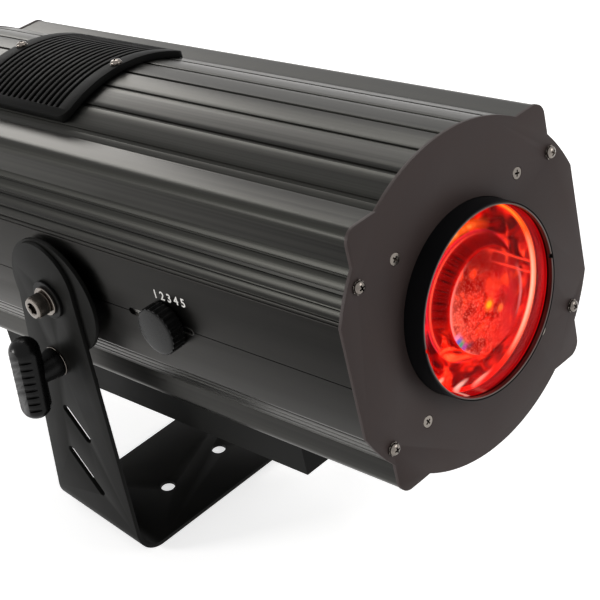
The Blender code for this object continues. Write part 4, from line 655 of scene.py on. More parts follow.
def crownGlass():
    # Coated crown glass: clear and polished, its coating keeps reflections down
    material, tree, shader = startMaterial("polishedCrownGlass", {
        "Base Color": colour("fff4f2"), "IOR": 1.06, "Transmission Weight": 1.0})
    specks = noise(tree, headCoordinates(tree), 1 / 0.02, 2.0)
    tree.links.new(between(tree, specks, 0.45, 0.8, 0.0, 0.005), shader.inputs["Roughness"])
    return material


def makeLensGlass():
    sizes = lensTube
    radius = sizes["radius"] - sizes["wall"] - gap
    front = sizes["front"] - sizes["ringSetback"] - sizes["ringHeight"] - gap
    profile = domeLine(radius, sizes["frontBulge"], front)
    profile += [(r, h - sizes["lensEdge"]) for r, h in reversed(profile)]
    finishPiece(spunShape("frontLensGlass", profile, 128), "glass", ["front_lens"], turn=toFront, smooth=40)


def lensValues(tree):
    place = addNode(tree, "SeparateXYZ", {}, {"Vector": headCoordinates(tree)})
    x, y, z = (place.outputs[name] for name in ("X", "Y", "Z"))
    squares = figure(tree, "ADD", figure(tree, "MULTIPLY", x, x), figure(tree, "MULTIPLY", z, z))
    across = figure(tree, "ADD", figure(tree, "MULTIPLY", x, 0.61), figure(tree, "MULTIPLY", z, 0.79))
    return {"x": x, "y": y, "z": z, "radius": figure(tree, "SQRT", squares),
            "angle": figure(tree, "ARCTAN2", z, x), "across": across}


def field(tree, values, factors, *settings):
    # Noise that is stretched along some of the lens's values
    axes = {axis: figure(tree, "MULTIPLY", values[name], factor)
            for axis, (name, factor) in zip("XYZ", factors)}
    return noise(tree, addNode(tree, "CombineXYZ", {}, axes).outputs["Vector"], *settings)


def shareOf(tree, values, kind, *sizes):
    if kind == "towards":           # fades out at so many degrees from a direction round the lens
        degrees, spread = sizes
        turned = figure(tree, "COSINE", figure(tree, "SUBTRACT", values["angle"], radians(degrees)))
        return between(tree, turned, cos(radians(spread)), 1.0)
    if kind == "band":              # fades out on both sides of a middle
        name, middle, half = sizes
        away = figure(tree, "ABSOLUTE", figure(tree, "SUBTRACT", values[name], middle))
        return between(tree, away, half, 0.0)
    if kind == "spot":              # fades out from a middle all round
        middle, size, *limits = sizes
        parts = [figure(tree, "POWER", figure(tree, "DIVIDE", figure(
            tree, "SUBTRACT", values[name], middle[i]), size[i]), 2.0) for i, name in enumerate("xz")]
        away = figure(tree, "SQRT", figure(tree, "ADD", *parts))
        return between(tree, between(tree, away, 1.0, 0.0), *limits)
    return between(tree, values[kind], *sizes)


def paint(tree, look, values, layers):
    # Each layer has its tint and rows for shareOf, which are multiplied
    for tint, *rows in layers:
        share = shareOf(tree, values, *rows[0])
        for row in rows[1:]:
            share = figure(tree, "MULTIPLY", share, shareOf(tree, values, *row))
        look = mixColour(tree, share, look, colour(tint))
    return look


# Two bright lines: painted reflections of the guide rods
paintedRodReflections = [("ff5038", ("band", "across", place, 0.0011), ("x", 0.006, 0.022)) for place in (0.0294, 0.023)]
# Painted light inside the bowl: flames of red and orange light, dark painted patches, painted highlights and
# a pink band
paintedInsideLight = [
    ("e81c0c", ("flames", 0.48, 0.58, 0.0, 0.9)),
    ("ff6034", ("flames", 0.58, 0.68, 0.0, 0.9)),
    ("340001", ("flames", 0.46, 0.36, 0.0, 0.9)),
    ("480203", ("towards", 12, 50), ("flames", 0.7, 0.4)),
    *paintedRodReflections,
    ("ff7a20", ("towards", 88, 34), ("band", "radius", 0.044, 0.0045), ("lines", 0.3, 0.5)),
    ("ffc060", ("towards", 92, 24), ("band", "radius", 0.0436, 0.002), ("flames", 0.42, 0.56)),
    ("2c0c04", ("towards", 40, 16), ("band", "radius", 0.05, 0.004), ("lines", 0.3, 0.6)),
    ("500204", ("towards", 262, 50), ("radius", 0.04, 0.044), ("flames", 0.62, 0.44)),
    ("f0405c", ("towards", 155, 40), ("band", "radius", 0.0435, 0.0035)),
]
# Painted light on the cone: dark ribs, a light ring and bright flames of light
paintedConeLight = [
    ("180000", ("ribs", 0.48, 0.58), ("band", "radius", 0.0356, 0.0042), ("towards", 132, 64)),
    ("ff6a50", ("band", "radius", 0.0388, 0.0006), ("towards", 160, 110)),
    ("ff2a10", ("towards", 222, 50), ("flames", 0.4, 0.52)),
    ("ff7a48", ("towards", 214, 34), ("flames", 0.52, 0.62)),
    ("3c0203", ("towards", 8, 80), ("flames", 0.64, 0.42)),
]
rimWall = [("radius", 0.0566, 0.0568), ("y", -0.0008, -0.0014)]
# The painted crescent: a bright highlight painted along the bowl's rear edge
paintedCrescentEdge = [("radius", 0.0553, 0.0557), ("y", -0.002, -0.0012)]
# Painted light on the rim wall, darker towards its back, with the painted crescent
paintedRimLightAndGlints = [
    ("7c060c", *rimWall),
    ("a8080e", *rimWall, ("lines", 0.45, 0.6)),
    ("5c0408", *rimWall, ("lines", 0.48, 0.36)),
    ("480205", *rimWall, ("y", -0.005, -0.0015, 0.0, 0.7)),
    ("e81c10", *paintedCrescentEdge),
    ("ff6a18", *paintedCrescentEdge, ("towards", 8, 88)),
    ("fff4d8", *paintedCrescentEdge, ("towards", -26, 44), ("band", "radius", 0.0566, 0.0013)),
    ("ffc040", *paintedCrescentEdge, ("towards", 40, 22), ("band", "radius", 0.0566, 0.0006)),
    # Painted glints low on the rim
    ("ffd0b8", ("spot", (-0.0385, -0.037), (0.005, 0.0025), 0.1, 0.9)),
    ("ffe4d8", ("spot", (-0.024, -0.049), (0.011, 0.0026), 0.1, 0.9)),
    ("ffb8a8", ("spot", (-0.005, -0.055), (0.013, 0.002), 0.1, 0.9)),
]
# Painted light on the second lens: clouds and grains of red light, painted reflections and glints
paintedSecondLensLight = [
    ("640202", ("z", 0.004, 0.024), ("clouds", 0.62, 0.42, 0.4, 1.0)),
    ("900404", ("clouds", 0.48, 0.38, 0.0, 0.8)),
    ("f0501c", ("clouds", 0.54, 0.66, 0.0, 0.8)),
    ("ffa088", ("dots", 0.5, 0.18, 0.0, 0.6), ("grains", 0.38, 0.56), ("z", 0.026, 0.004, 0.25, 1.0),
     ("x", 0.028, 0.0, 0.25, 1.0)),
    ("980606", ("dots", 0.5, 0.8, 0.0, 0.45), ("z", 0.026, 0.004, 0.3, 1.0)),
    *paintedRodReflections,
    ("c87878", ("radius", 0.0296, 0.0302), ("towards", -14, 34)),
    ("f09a90", ("radius", 0.0305, 0.0322), ("towards", 175, 70)),
    ("584058", ("spot", (-0.0215, -0.0185), (0.0055, 0.0035), 0.1, 0.9, 0.0, 0.8)),
    # A painted rainbow glint on the second lens's edge
    *[(tint, ("radius", 0.027, 0.0305), ("towards", degrees, 5)) for degrees, tint in (
        (196, "e8a0d0"), (202, "5a78f0"), (208, "48b890"), (214, "a058c8"))],
    # Painted reflections of the emitter: two yellow spots
    ("ff8a20", ("spot", (-0.0003, -0.002), (0.0062, 0.0056), 0.1, 0.8)),
    ("ffd420", ("spot", (-0.0003, -0.002), (0.004, 0.0036), 0.2, 0.7)),
    ("ff9040", ("spot", (0.009, -0.0094), (0.0042, 0.004), 0.15, 0.9)),
]


# The bowl and the second lens's face glow though they are no lamps: their emission is painted light over a
# near-black base
def paintedGlowMaterial(name, makeLook):
    material, tree, shader = startMaterial(name, {"Roughness": 0.5, "Emission Strength": 1.0,
                                                  "Specular IOR Level": 0.0})
    look = makeLook(tree)
    red = addNode(tree, "VectorMath", {"operation": "MULTIPLY", 1: paintedLensGlow["redder"]}, {0: look})
    tree.links.new(red.outputs["Vector"], shader.inputs["Emission Color"])
    dark = mixColour(tree, paintedLensGlow["darker"], look, colour("0a0000"))
    tree.links.new(dark, shader.inputs["Base Color"])
    return material


def paintedBowlGlow(tree):
    # Painted red light on the lens's rim wall, a painted bright crescent at its rear edge, painted flames of
    # light, highlights and dark ribs inside it
    values = lensValues(tree)
    second, edge, hot, blend = (paintedLensGlow[name] for name in ("second", "cone", "paintedCrescentEdge", "blend"))
    for name, recipe in bowlNoises.items():
        values[name] = field(tree, values, *recipe)
    inside = ramp(tree, between(tree, values["radius"], edge, hot), [
        (0.0, "a00404"), (0.35, "880303"), (0.7, "b40604"), (1.0, "cc0c06")])
    inside = paint(tree, inside, values, paintedInsideLight)
    cone = ramp(tree, between(tree, values["radius"], second, edge), [
        (0.0, "c01008"), (0.15, "700303"), (0.55, "780404"), (0.8, "a81010"), (1.0, "e03048")])
    cone = paint(tree, cone, values, paintedConeLight)
    look = mixColour(tree, between(tree, values["radius"], edge + blend, edge - blend), inside, cone)
    return paint(tree, look, values, paintedRimLightAndGlints)


def paintedSecondLensGlow(tree):
    # Painted light on the second lens's face: grainy red light, two painted yellow reflections of the
    # emitter, a painted rainbow glint and lighter painted edges
    values = lensValues(tree)
    place = headCoordinates(tree)
    dots = addNode(tree, "TexVoronoi", {"Scale": 1 / secondNoises["dots"]}, {"Vector": place})
    values["dots"] = dots.outputs["Distance"]
    values["grains"] = noise(tree, place, 1 / secondNoises["grains"], 1.0)
    values["clouds"] = noise(tree, place, 1 / secondNoises["clouds"], 3.0, 0.4)
    # Painted light across the face: pinkish towards one side, dark red towards the other
    look = ramp(tree, between(tree, values["x"], -paintedLensGlow["tonesHalf"], paintedLensGlow["tonesHalf"]), [
        (0.0, "dc7462"), (0.22, "d84434"), (0.5, "d82414"), (0.78, "c00c20"), (1.0, "70060c")])
    return paint(tree, look, values, paintedSecondLensLight)


def makePaintedLensGlow():
    sizes = paintedLensGlow
    floor, skin, wall, cone, second = (sizes[name] for name in ("floor", "skin", "wall", "cone", "second"))
    hot, brim, top, steps = sizes["paintedCrescentEdge"], floor + sizes["brim"], sizes["secondTop"], sizes["coneSteps"]
    under = top - sizes["secondDrop"]
    # A glowing bowl behind the glass, painted with the light seen inside the lens
    face = [(wall, sizes["wallTop"]), (wall, floor + sizes["wallFoot"]), (wall - sizes["brimWidth"], brim),
            (hot, floor)]
    face += [(hot - (hot - cone) * i / steps, floor) for i in range(1, steps + 1)]
    face += [(cone - (cone - second) * i / steps, floor + (under - floor) * (i / steps) ** sizes["coneCurve"])
             for i in range(1, steps + 1)]
    back = [(second - skin, under - skin), (cone - 2 * skin, floor - skin), (hot, floor - skin),
            (wall + skin, brim), (wall + skin, sizes["wallTop"])]
    finishPiece(spunShape("paintedRedGlowBowl", face + back, 96, True), "paintedGlowBowl", turn=toFront)
    profile = domeLine(second, sizes["secondRise"], top)
    profile += [(second - sizes["secondEdge"], top - sizes["secondThick"]), (0, top - sizes["secondThick"])]
    finishPiece(spunShape("secondLensPaintedGlow", profile, 96), "paintedGlowSecond", turn=toFront, smooth=60)


print("Lens")
finishes["glass"] = crownGlass()
finishes["paintedGlowBowl"] = paintedGlowMaterial("paintedRedGlowBowl", paintedBowlGlow)
finishes["paintedGlowSecond"] = paintedGlowMaterial("paintedRedGlowSecondLens", paintedSecondLensGlow)
makeLensTube()
makeLensGlass()
makePaintedLensGlow()


# Vent cover on the top

ventCover = {
    "front": 0.287, "length": 0.121, "halfWidth": 0.056, "height": 0.005, "thickness": 0.0018,
    "endBorder": 0.0105, "sideBorder": 0.006, "slits": 16, "slitShare": 0.55, "corner": 0.008,
    "margin": 0.01, "hole": 0.0021, "holeLength": 0.03, "holeDrop": 0.006, "edge": 0.0004,
    "planFrom": 0.05, "planHeight": 0.1, "hollowDrop": 0.003, "slitHeight": 0.06,
}


def ventBlock(name, low, high, inset):
    # A piece of tube with a rounded plan
    sizes = ventCover
    halfWidth, length = sizes["halfWidth"] - inset, sizes["length"] - 2 * inset
    middle, margin = sizes["front"] + sizes["length"] / 2, sizes["margin"]
    halfAngle = asin(halfWidth / high) + margin
    centre = (0, -shells["centreDrop"])
    line = arcPoints(high, centre, quarter - halfAngle, quarter + halfAngle, 48)
    line += arcPoints(low, centre, quarter + halfAngle, quarter - halfAngle, 48)
    block = thickSheet(name, [(x, middle - length / 2 - margin, z) for x, z in line],
                       (0, length + 2 * margin, 0))
    box = roundedBox(halfWidth, length / 2, sizes["corner"] - inset)
    plan = thickSheet("plan", [(x, middle + y, sizes["planFrom"]) for x, y in box],
                      (0, 0, sizes["planHeight"]))
    return cutWith(block, plan, operation="INTERSECT")


def makeVentCover():
    sizes = ventCover
    thick, border, front = sizes["thickness"], sizes["endBorder"], sizes["front"]
    outer = shells["radius"] + sizes["height"]
    foot = shells["radius"] + gap
    cover = ventBlock("slittedVentCover", foot, outer, 0.0)
    hollow = ventBlock("coverInside", foot - sizes["hollowDrop"], outer - thick, thick)
    pitch = (sizes["length"] - 2 * border) / sizes["slits"]
    across = 2 * (sizes["halfWidth"] - sizes["sideBorder"])
    slit = smallBlock("slits", (across, pitch * sizes["slitShare"], sizes["slitHeight"]),
                      (0, front + border + pitch / 2, outer))
    repeat(slit, sizes["slits"], (0, pitch, 0))
    cutWith(cover, hollow, slit)
    ends = (front + border / 2, front + sizes["length"] - border / 2)
    drill(cover, sizes["hole"], sizes["holeLength"], [(0, y, outer - sizes["holeDrop"]) for y in ends],
          sides=24)
    roundEdges(cover, sizes["edge"], 2, 45)
    finishPiece(cover, "moulding", ["vent_cover"])
    for index, y in enumerate(ends):
        placeScrew(panScrew, "coverScrew%d" % (index + 1), (0, y, outer - shells["centreDrop"] - gap),
                   upright, 0.5 + index)


print("Vent cover")
makeVentCover()


# Bent bracket

bracket = {
    "halfWidth": 0.1155, "thickness": 0.003, "bend": 0.02, "edge": 0.0005,
    "front": -0.0525, "rear": 0.0395, "headRadius": 0.03, "headRise": 0.011, "headSetback": 0.0045,
    "pivotHole": 0.0054, "clampDrop": 0.056, "clampBack": 0.006, "clampHole": 0.0044,
    "baseHole": 0.0055, "baseHolePitch": 0.054, "baseHoleForward": 0.0125,
    "slotWidth": 0.0075, "slotAngle": radians(43), "slotForward": 0.002,
    "slots": [(0.033, 0.11), (0.044, 0.155)],      # length, and drop below the pivot
    "margin": 0.01, "across": 0.26, "rawWidth": 0.2, "pivotReach": 0.3,
}


def touchAngle(centre, radius, point, side):
    across = point[0] - centre[0]
    along = point[1] - centre[1]
    return atan2(along, across) + side * acos(radius / hypot(across, along))


def makeBracket():
    sizes = bracket
    half, thick, bend = sizes["halfWidth"], sizes["thickness"], sizes["bend"]
    pivot, radius, margin = headFit["pivotHeight"], sizes["headRadius"], sizes["margin"]
    top = pivot + sizes["headRise"] + radius + margin
    leftTurn, rightTurn = (pi, 1.5 * pi), (1.5 * pi, 2 * pi)
    strap = [(-half, top)]
    strap += arcPoints(bend, (-half + bend, bend), *leftTurn, 14)
    strap += arcPoints(bend, (half - bend, bend), *rightTurn, 14)
    strap += [(half, top), (half - thick, top)]
    strap += arcPoints(bend - thick, (half - bend, bend), *rightTurn[::-1], 14)
    strap += arcPoints(bend - thick, (-half + bend, bend), *leftTurn[::-1], 14)
    strap += [(-half + thick, top)]
    body = thickSheet("bentBracket", [(x, -sizes["rawWidth"] / 2, z) for x, z in strap],
                      (0, sizes["rawWidth"], 0))
    centre = (sizes["headSetback"], pivot + sizes["headRise"])
    start = touchAngle(centre, radius, (sizes["rear"], 0), 1)
    end = touchAngle(centre, radius, (sizes["front"], 0), -1) + 2 * pi
    side = [(sizes["rear"], -margin), (sizes["rear"], 0)]
    side += arcPoints(radius, centre, start, end, 48)
    side += [(sizes["front"], 0), (sizes["front"], -margin)]

    def acrossBoth(name, line):
        return thickSheet(name, [(-sizes["across"] / 2, y, z) for y, z in line], (sizes["across"], 0, 0))

    cutWith(body, acrossBoth("armOutline", side), operation="INTERSECT")
    drill(body, sizes["pivotHole"], sizes["pivotReach"], [(0, 0, pivot)], toRight)
    clampPlace = (-half, sizes["clampBack"], pivot - sizes["clampDrop"])
    drill(body, sizes["clampHole"], through, [clampPlace], toRight)
    turn, width = Matrix.Rotation(sizes["slotAngle"], 2), sizes["slotWidth"] / 2
    for length, drop in sizes["slots"]:
        line = [turn @ Vector(point) for point in roundedBox(length / 2, width, width - 0.00001)]
        cutWith(body, acrossBoth("slots", [(y - sizes["slotForward"], z + pivot - drop) for y, z in line]))
    pitch = sizes["baseHolePitch"]
    drill(body, sizes["baseHole"], through, [(x, -sizes["baseHoleForward"], 0) for x in (-pitch, 0, pitch)])
    roundEdges(body, sizes["edge"], 3, 50)
    finishPiece(body, "bracket", ["yoke_bracket"], body="bracket")


print("Bracket")
makeBracket()


# Tilt pivots and the disc between arm and body

pivots = {
    "boltHead": 0.008, "boltHeight": 0.01, "hexagon": 0.0046, "bolt": 0.005, "boltEnd": 0.0932,
    "knurls": 36, "knurlDepth": 0.0004, "knurlStart": 0.0008, "knurlShort": 0.0026,
    "washer": 0.0105, "washerThick": 0.0018, "washerEdge": 0.0004,
    "pad": 0.014, "padThick": 0.002, "padEdge": 0.0003, "play": 0.0004,
    "disc": 0.043, "discThick": 0.003, "discEdge": 0.0005, "discBore": 0.0054, "lobe": 0.066,
    "slotHalf": 0.0044, "downLimit": radians(15), "upLimit": radians(30),
    "endMargin": radians(7), "spacerEdge": 0.0008,
    "cutFrom": -0.12, "cutDepth": 0.03, "boreAt": -0.108, "boreLength": 0.05,
}


def chamferedWasher(name, bore, radius, thick, edge, steps=64):
    profile = [(bore, thick - edge), (bore + edge, thick), (radius - edge, thick), (radius, thick - edge),
               (radius, edge * 0.5), (radius - edge * 0.5, 0), (bore, 0)]
    return spunShape(name, profile, steps, True)


def makePivot(side, sign, turn):
    sizes = pivots
    pad = bracket["halfWidth"] + gap
    washer = pad + sizes["padThick"] + gap
    seat = washer + sizes["washerThick"] + gap
    node = "_" + side.lower()
    for kind, finish, out in (("pad", "nylon", pad), ("washer", "plated", washer)):
        ring = chamferedWasher("pivot" + kind.capitalize() + side, sizes["bolt"] + sizes["play"], sizes[kind],
                               sizes[kind + "Thick"], sizes[kind + "Edge"])
        finishPiece(ring, finish, ["pivot_" + kind + node], (sign * out, pivotY, pivotZ), turn)
    head, top, bolt, low = sizes["boltHead"], sizes["boltHeight"], sizes["bolt"], sizes["knurlDepth"]
    star = toothed(head, head - low, sizes["knurls"], sizes["knurlStart"])
    grip = thickSheet("knurledHead", star, (0, 0, top - sizes["knurlShort"]))
    shank = seat - sizes["boltEnd"]
    profile = [(0, top), (head - 0.0014, top), (head - 0.0008, top - 0.0002), (head - low, top - 0.0008),
               (head - low, 0.0004), (head - 0.0007, 0), (bolt, 0), (bolt, -shank), (0, -shank)]
    piece = spunShape("pivotBolt" + side, profile, 64)
    cutWith(piece, grip, operation="UNION")
    hexagon = sizes["hexagon"]
    drill(piece, hexagon, 2 * top, [(0, 0, top * 0.35 + top)], sides=6)
    cutWith(piece, spunShape("socketChamfer", [(0, top + 0.001), (hexagon + 0.0012, top + 0.001),
                             (hexagon - 0.0006, top - 0.0008), (0, top - 0.0008)], 48))
    finishPiece(piece, "plated", ["pivot_bolt" + node], (sign * seat, pivotY, pivotZ), turn)


def makeTiltDisc():
    sizes = pivots
    reach = hypot(bracket["clampDrop"], bracket["clampBack"])
    clampAngle = atan2(bracket["clampBack"], bracket["clampDrop"])
    low = -quarter + (clampAngle - sizes["downLimit"])
    high = -quarter + (clampAngle + sizes["upLimit"])
    margin, half, thick = sizes["endMargin"], sizes["slotHalf"], sizes["discThick"]
    outline = arcPoints(sizes["disc"], (0, 0), high + margin, low + 2 * pi - margin, 80)
    outline += arcPoints(sizes["lobe"], (0, 0), low - margin, high + margin, 30)
    inside = bracket["halfWidth"] - bracket["thickness"] - gap - thick
    disc = thickSheet("tiltDisc", [(-inside - thick, pivotY + a, pivotZ + b) for a, b in outline],
                      (thick, 0, 0))
    line = arcPoints(reach + half, (0, 0), low, high, 24)
    line += arcPoints(half, (reach * cos(high), reach * sin(high)), high, high + pi, 10)[1:-1]
    line += arcPoints(reach - half, (0, 0), high, low, 24)
    line += arcPoints(half, (reach * cos(low), reach * sin(low)), low + pi,
                      low + 2 * pi, 10)[1:-1]
    cutWith(disc, thickSheet("discSlot", [(sizes["cutFrom"], pivotY + a, pivotZ + b) for a, b in line],
                             (sizes["cutDepth"], 0, 0)))
    drill(disc, sizes["discBore"], sizes["boreLength"], [(sizes["boreAt"], pivotY, pivotZ)], toRight)
    roundEdges(disc, sizes["discEdge"], 3, 50)
    finishPiece(disc, "bracket", ["tilt_quadrant"])
    near = shells["side"] + gap
    far = bracket["halfWidth"] - bracket["thickness"] - gap
    spacer = chamferedWasher("pivotSpacerRight", sizes["discBore"], sizes["disc"], far - near,
                             sizes["spacerEdge"], 96)
    finishPiece(spacer, "nylon", ["pivot_spacer_right"], (near, pivotY, pivotZ), toRight)


print("Tilt pivots")
makePivot("Left", -1, toLeft)
makePivot("Right", 1, toRight)
makeTiltDisc()


# Tilt clamp with its T-handle

clamp = {
    "barLength": 0.066, "barRadius": 0.0108, "capShare": 0.9, "flat": 0.0014, "offset": 0.024,
    "hub": 0.0112, "hubStart": 0.0016, "ribs": 8, "ribAngle": radians(52), "ribPitch": 0.006,
    "slot": (0.0028, 0.0085, 0.0027), "stud": 0.004, "studEnd": 0.0126, "studInside": 0.004,
    "ringThick": 0.001, "threads": 13, "threadPitch": 0.0009, "threadDepth": 0.0003,
    "threadStart": 0.0004, "threadSlope": 0.0004, "edge": 0.00025,
    # along the hub: share of its radius and of its length
    "hubLine": [(0, 1), (0.8, 1), (0.8, 0.72), (0.84, 0.5), (0.92, 0.25), (0.985, 0.07)],
}


def makeClamp():
    sizes = clamp
    place = (-bracket["halfWidth"], bracket["clampBack"], headFit["pivotHeight"] - bracket["clampDrop"])
    radius, half, offset = sizes["barRadius"], sizes["barLength"] / 2, sizes["offset"]
    cap = radius * sizes["capShare"]
    upper = [(radius - cap + cap * sin(quarter * i / 10), half - cap + cap * cos(quarter * i / 10))
             for i in range(11)]
    lower = [(r, -h) for r, h in reversed(upper)]
    bar = spunShape("clampHandle", [(0, half)] + upper + lower + [(0, -half)], 72)
    cutWith(bar, smallBlock("gripFlat", (2 * sizes["flat"], 3 * radius, 3 * half), (-radius, 0, 0)))
    for side in (-1, 1):
        first = -(sizes["ribs"] - 1) / 2 * sizes["ribPitch"]
        ribs = smallBlock("gripSlots", sizes["slot"], (-radius, 0, first))
        repeat(ribs, sizes["ribs"], (0, 0, sizes["ribPitch"]))
        cutWith(bar, placed(ribs, Matrix.Rotation(side * sizes["ribAngle"], 4, "Z")))
    roundEdges(bar, sizes["edge"], 2, 35)
    length, hub = offset - sizes["hubStart"], sizes["hub"]
    profile = [(hub * across, length * along) for across, along in sizes["hubLine"]]
    profile += [(hub * 0.985, 0.0004), (hub * 0.95, 0), (0, 0)]
    hubPiece = placed(spunShape("clampHub", profile, 64), lying((length, 0, 0), toLeft))
    cutWith(bar, hubPiece, operation="UNION")
    finishPiece(bar, "gloss", ["clamp_handle"], (place[0] - offset, *place[1:]), body="clamp")
    collar, inside, end = gap + sizes["ringThick"], offset - sizes["studInside"], 0.0002 - sizes["studEnd"]
    stud = sizes["stud"]
    profile = [(0, inside), (stud, inside), (stud, collar), (hub - 0.0002, collar), (hub, collar - 0.0002),
               (hub, gap), (stud, gap)]
    for i in range(sizes["threads"]):
        height = -sizes["threadStart"] - i * sizes["threadPitch"]
        profile += [(stud, height), (stud - sizes["threadDepth"], height - sizes["threadSlope"])]
    profile += [(stud - 0.0005, end), (0, end)]
    finishPiece(spunShape("clampStud", profile, 32), "plated", ["clamp_stud"], place, toLeft, "clamp")


print("Clamp")
makeClamp()


# Focus knob, strip and numerals

focus = {
    "y": 0.162, "faceX": -0.1044, "radius": 0.0165, "length": 0.012, "gripShare": 0.84, "capShare": 0.7,
    "ridges": 24, "ridgeDepth": 0.0008, "start": 0.0004, "dome": 0.0008, "edge": 0.0002,
    "text": "1 2 3 4 5", "textSize": 0.0085, "textLift": 0.00008, "textY": 0.1536, "textZ": 0.0175,
    "textSwell": 0.00012, "textThick": 0.00006,
}


def makeKnob():
    sizes = focus
    radius, top, dome = sizes["radius"], sizes["length"], sizes["dome"]
    rim, low = radius - sizes["ridgeDepth"], top * sizes["capShare"]
    knob = thickSheet("focusKnobGrip", toothed(radius, rim, sizes["ridges"], sizes["start"]),
                      (0, 0, top * sizes["gripShare"]))
    roundEdges(knob, sizes["edge"], 1, 30)
    profile = domeLine(rim - 0.0009, dome, top - dome - 0.0001, 10)
    profile += [(rim - 0.0004, top - dome - 0.0003), (rim - 0.0001, top - dome - 0.0007),
                (rim - 0.0001, low), (0, low)]
    knob = joined("focusKnobGrip", knob, spunShape("knobCap", profile, 96))
    finishPiece(knob, "gloss", ["focus_knob"], (sizes["faceX"], sizes["y"], slot["height"]), toLeft, "knob")


def makeNumerals():
    sizes = focus
    selectOnly()
    bpy.ops.object.text_add()
    text = newest("focusNumerals").data
    text.body = sizes["text"]
    text.size = sizes["textSize"]
    text.align_x = "CENTER"
    text.align_y = "CENTER"
    text.offset = sizes["textSwell"]
    text.extrude = sizes["textThick"]
    bpy.ops.object.convert(target="MESH")
    place = (-shells["side"] - sizes["textLift"], sizes["textY"], sizes["textZ"])
    finishPiece(bpy.context.object, "ink", [], place, (quarter, 0, -quarter))


def makeSlotEdge():
    # The slot was milled after anodising, so its edge is bare. The bright bare edge is kept only on the front
    # half; leaving it off the rear half stands in for the shade that lies there
    edge = slotSheet("slotBareEdge", "edge")
    cutWith(edge, slotSheet("slotOpening", "opening"))
    cutWith(edge, smallBlock("rearHalfInShade", slot["rearSize"], slot["rearPlace"]))
    finishPiece(edge, "aluminium")


print("Knob and numerals")
makeKnob()
makeSlotEdge()
makeNumerals()


# Rear: plate, handle, sockets, switch case and buttons

rear = {
    # middle and half sizes of the plate's openings
    "windows": [(0.0, 0.033, 0.0303, 0.0113), (-0.052, -0.045, 0.0143, 0.0103),
                (-0.014, -0.045, 0.0073, 0.0108)],
    "row": -0.045, "signals": (0.025, 0.06), "signalRadius": 0.011, "signalBore": 0.0085,
    "signalDepth": 0.018, "signalFloor": -0.015,
    "contactRing": 0.0045, "contact": 0.0011, "contactLength": 0.01, "contactTurns": (90, 210, 330),
    "contactEdge": 0.0003, "pinEdge": 0.0005,
    "buttons": (-0.027, -0.009, 0.009, 0.027), "buttonHole": 0.0046, "buttonHeight": 0.006,
    "buttonBack": 0.4986,
    "buttonLine": [(0, 0.0066), (0.0026, 0.0067), (0.0032, 0.0069), (0.0036, 0.007), (0.004, 0.0069),
                   (0.0042, 0.0065), (0.0042, 0.0012), (0.0057, 0.0012), (0.0057, 0), (0, 0)],
    "pins": [(-0.007, -0.002), (0.0, 0.003), (0.007, -0.002)], "pin": (0.002, 0.0122, 0.0042),
    "handleHalf": 0.05, "handleZ": 0.072, "reach": 0.042, "bar": 0.0059, "bend": 0.012,
    "foot": 0.01, "footHeight": 0.004, "barStart": 0.003,
}
inlet = {"x": -0.052, "size": (0.028, 0.018, 0.02), "lip": 0.002, "floor": 0.003, "edge": 0.0005}
switch = {"x": -0.014, "size": (0.014, 0.014, 0.021), "lip": 0.0012, "floor": 0.004, "edge": 0.0003}


def makeRearPlate():
    sizes, face = rear, plates["rearFace"]
    plate = makePlate("rearPlateSheet", face - plates["thickness"])
    for x, z, halfWidth, halfHeight in sizes["windows"]:
        cutWith(plate, smallBlock("opening", (2 * halfWidth, through, 2 * halfHeight), (x, face, z)))
    holes = [(x, sizes["row"], sizes["signalRadius"] + gap) for x in sizes["signals"]]
    holes += [(x, sizes["buttonHeight"], sizes["buttonHole"]) for x in sizes["buttons"]]
    holes += [(x, z, screws["shank"] + gap) for x, z in outerPlaces]
    for x, z, radius in holes:
        drill(plate, radius, through, [(x, face, z)], toRear)
    roundEdges(plate, plates["edge"], 3, 50)
    finishPiece(plate, "plate", ["rear_plate"])


def makeRearHandle():
    sizes, half, bend = rear, rear["handleHalf"], rear["bend"]
    start, out = plates["rearFace"] + gap, plates["rearFace"] + sizes["reach"]
    low = start + sizes["barStart"]
    corner = [(bend - half - bend * cos(a), out - bend + bend * sin(a))
              for a in (quarter * i / 10 for i in range(11))]
    route = [(-half, low)] + corner + mirrored(corner) + [(half, low)]
    line = bpy.data.curves.new("handleLine", "CURVE")
    line.dimensions = "3D"
    line.bevel_depth = sizes["bar"]
    line.bevel_resolution = 6
    line.use_fill_caps = True
    spline = line.splines.new("POLY")
    spline.points.add(len(route) - 1)
    for point, (x, y) in zip(spline.points, route):
        point.co = (x, y, sizes["handleZ"], 1.0)
    handle = bpy.data.objects.new("rearCarryHandle", line)
    bpy.context.scene.collection.objects.link(handle)
    selectOnly(handle)
    bpy.ops.object.convert(target="MESH")
    handle = bpy.context.object
    bpy.ops.object.mode_set(mode="EDIT")
    closeMesh()
    foot, height = sizes["foot"], sizes["footHeight"]
    profile = [(0, 0), (foot, 0), (foot, height - 0.001), (foot - 0.0003, height - 0.0003),
               (foot - 0.001, height), (0, height)]
    for x in (-half, half):
        base = placed(spunShape("handleFoot", profile, 64), lying((x, start, sizes["handleZ"]), toRear))
        cutWith(handle, base, operation="UNION")
    finishPiece(handle, "bracket", ["rear_handle"], smooth=35)


def makeWell(name, sizes, node):
    face, size, lip = plates["rearFace"], sizes["size"], sizes["lip"]
    middle = face - size[1] / 2
    case = smallBlock(name, size, (sizes["x"], middle, rear["row"]))
    inside = (size[0] - 2 * lip, size[1], size[2] - 2 * lip)
    cutWith(case, smallBlock("well", inside, (sizes["x"], middle + sizes["floor"], rear["row"])))
    roundEdges(case, sizes["edge"], 2)
    finishPiece(case, "nylon", [node])


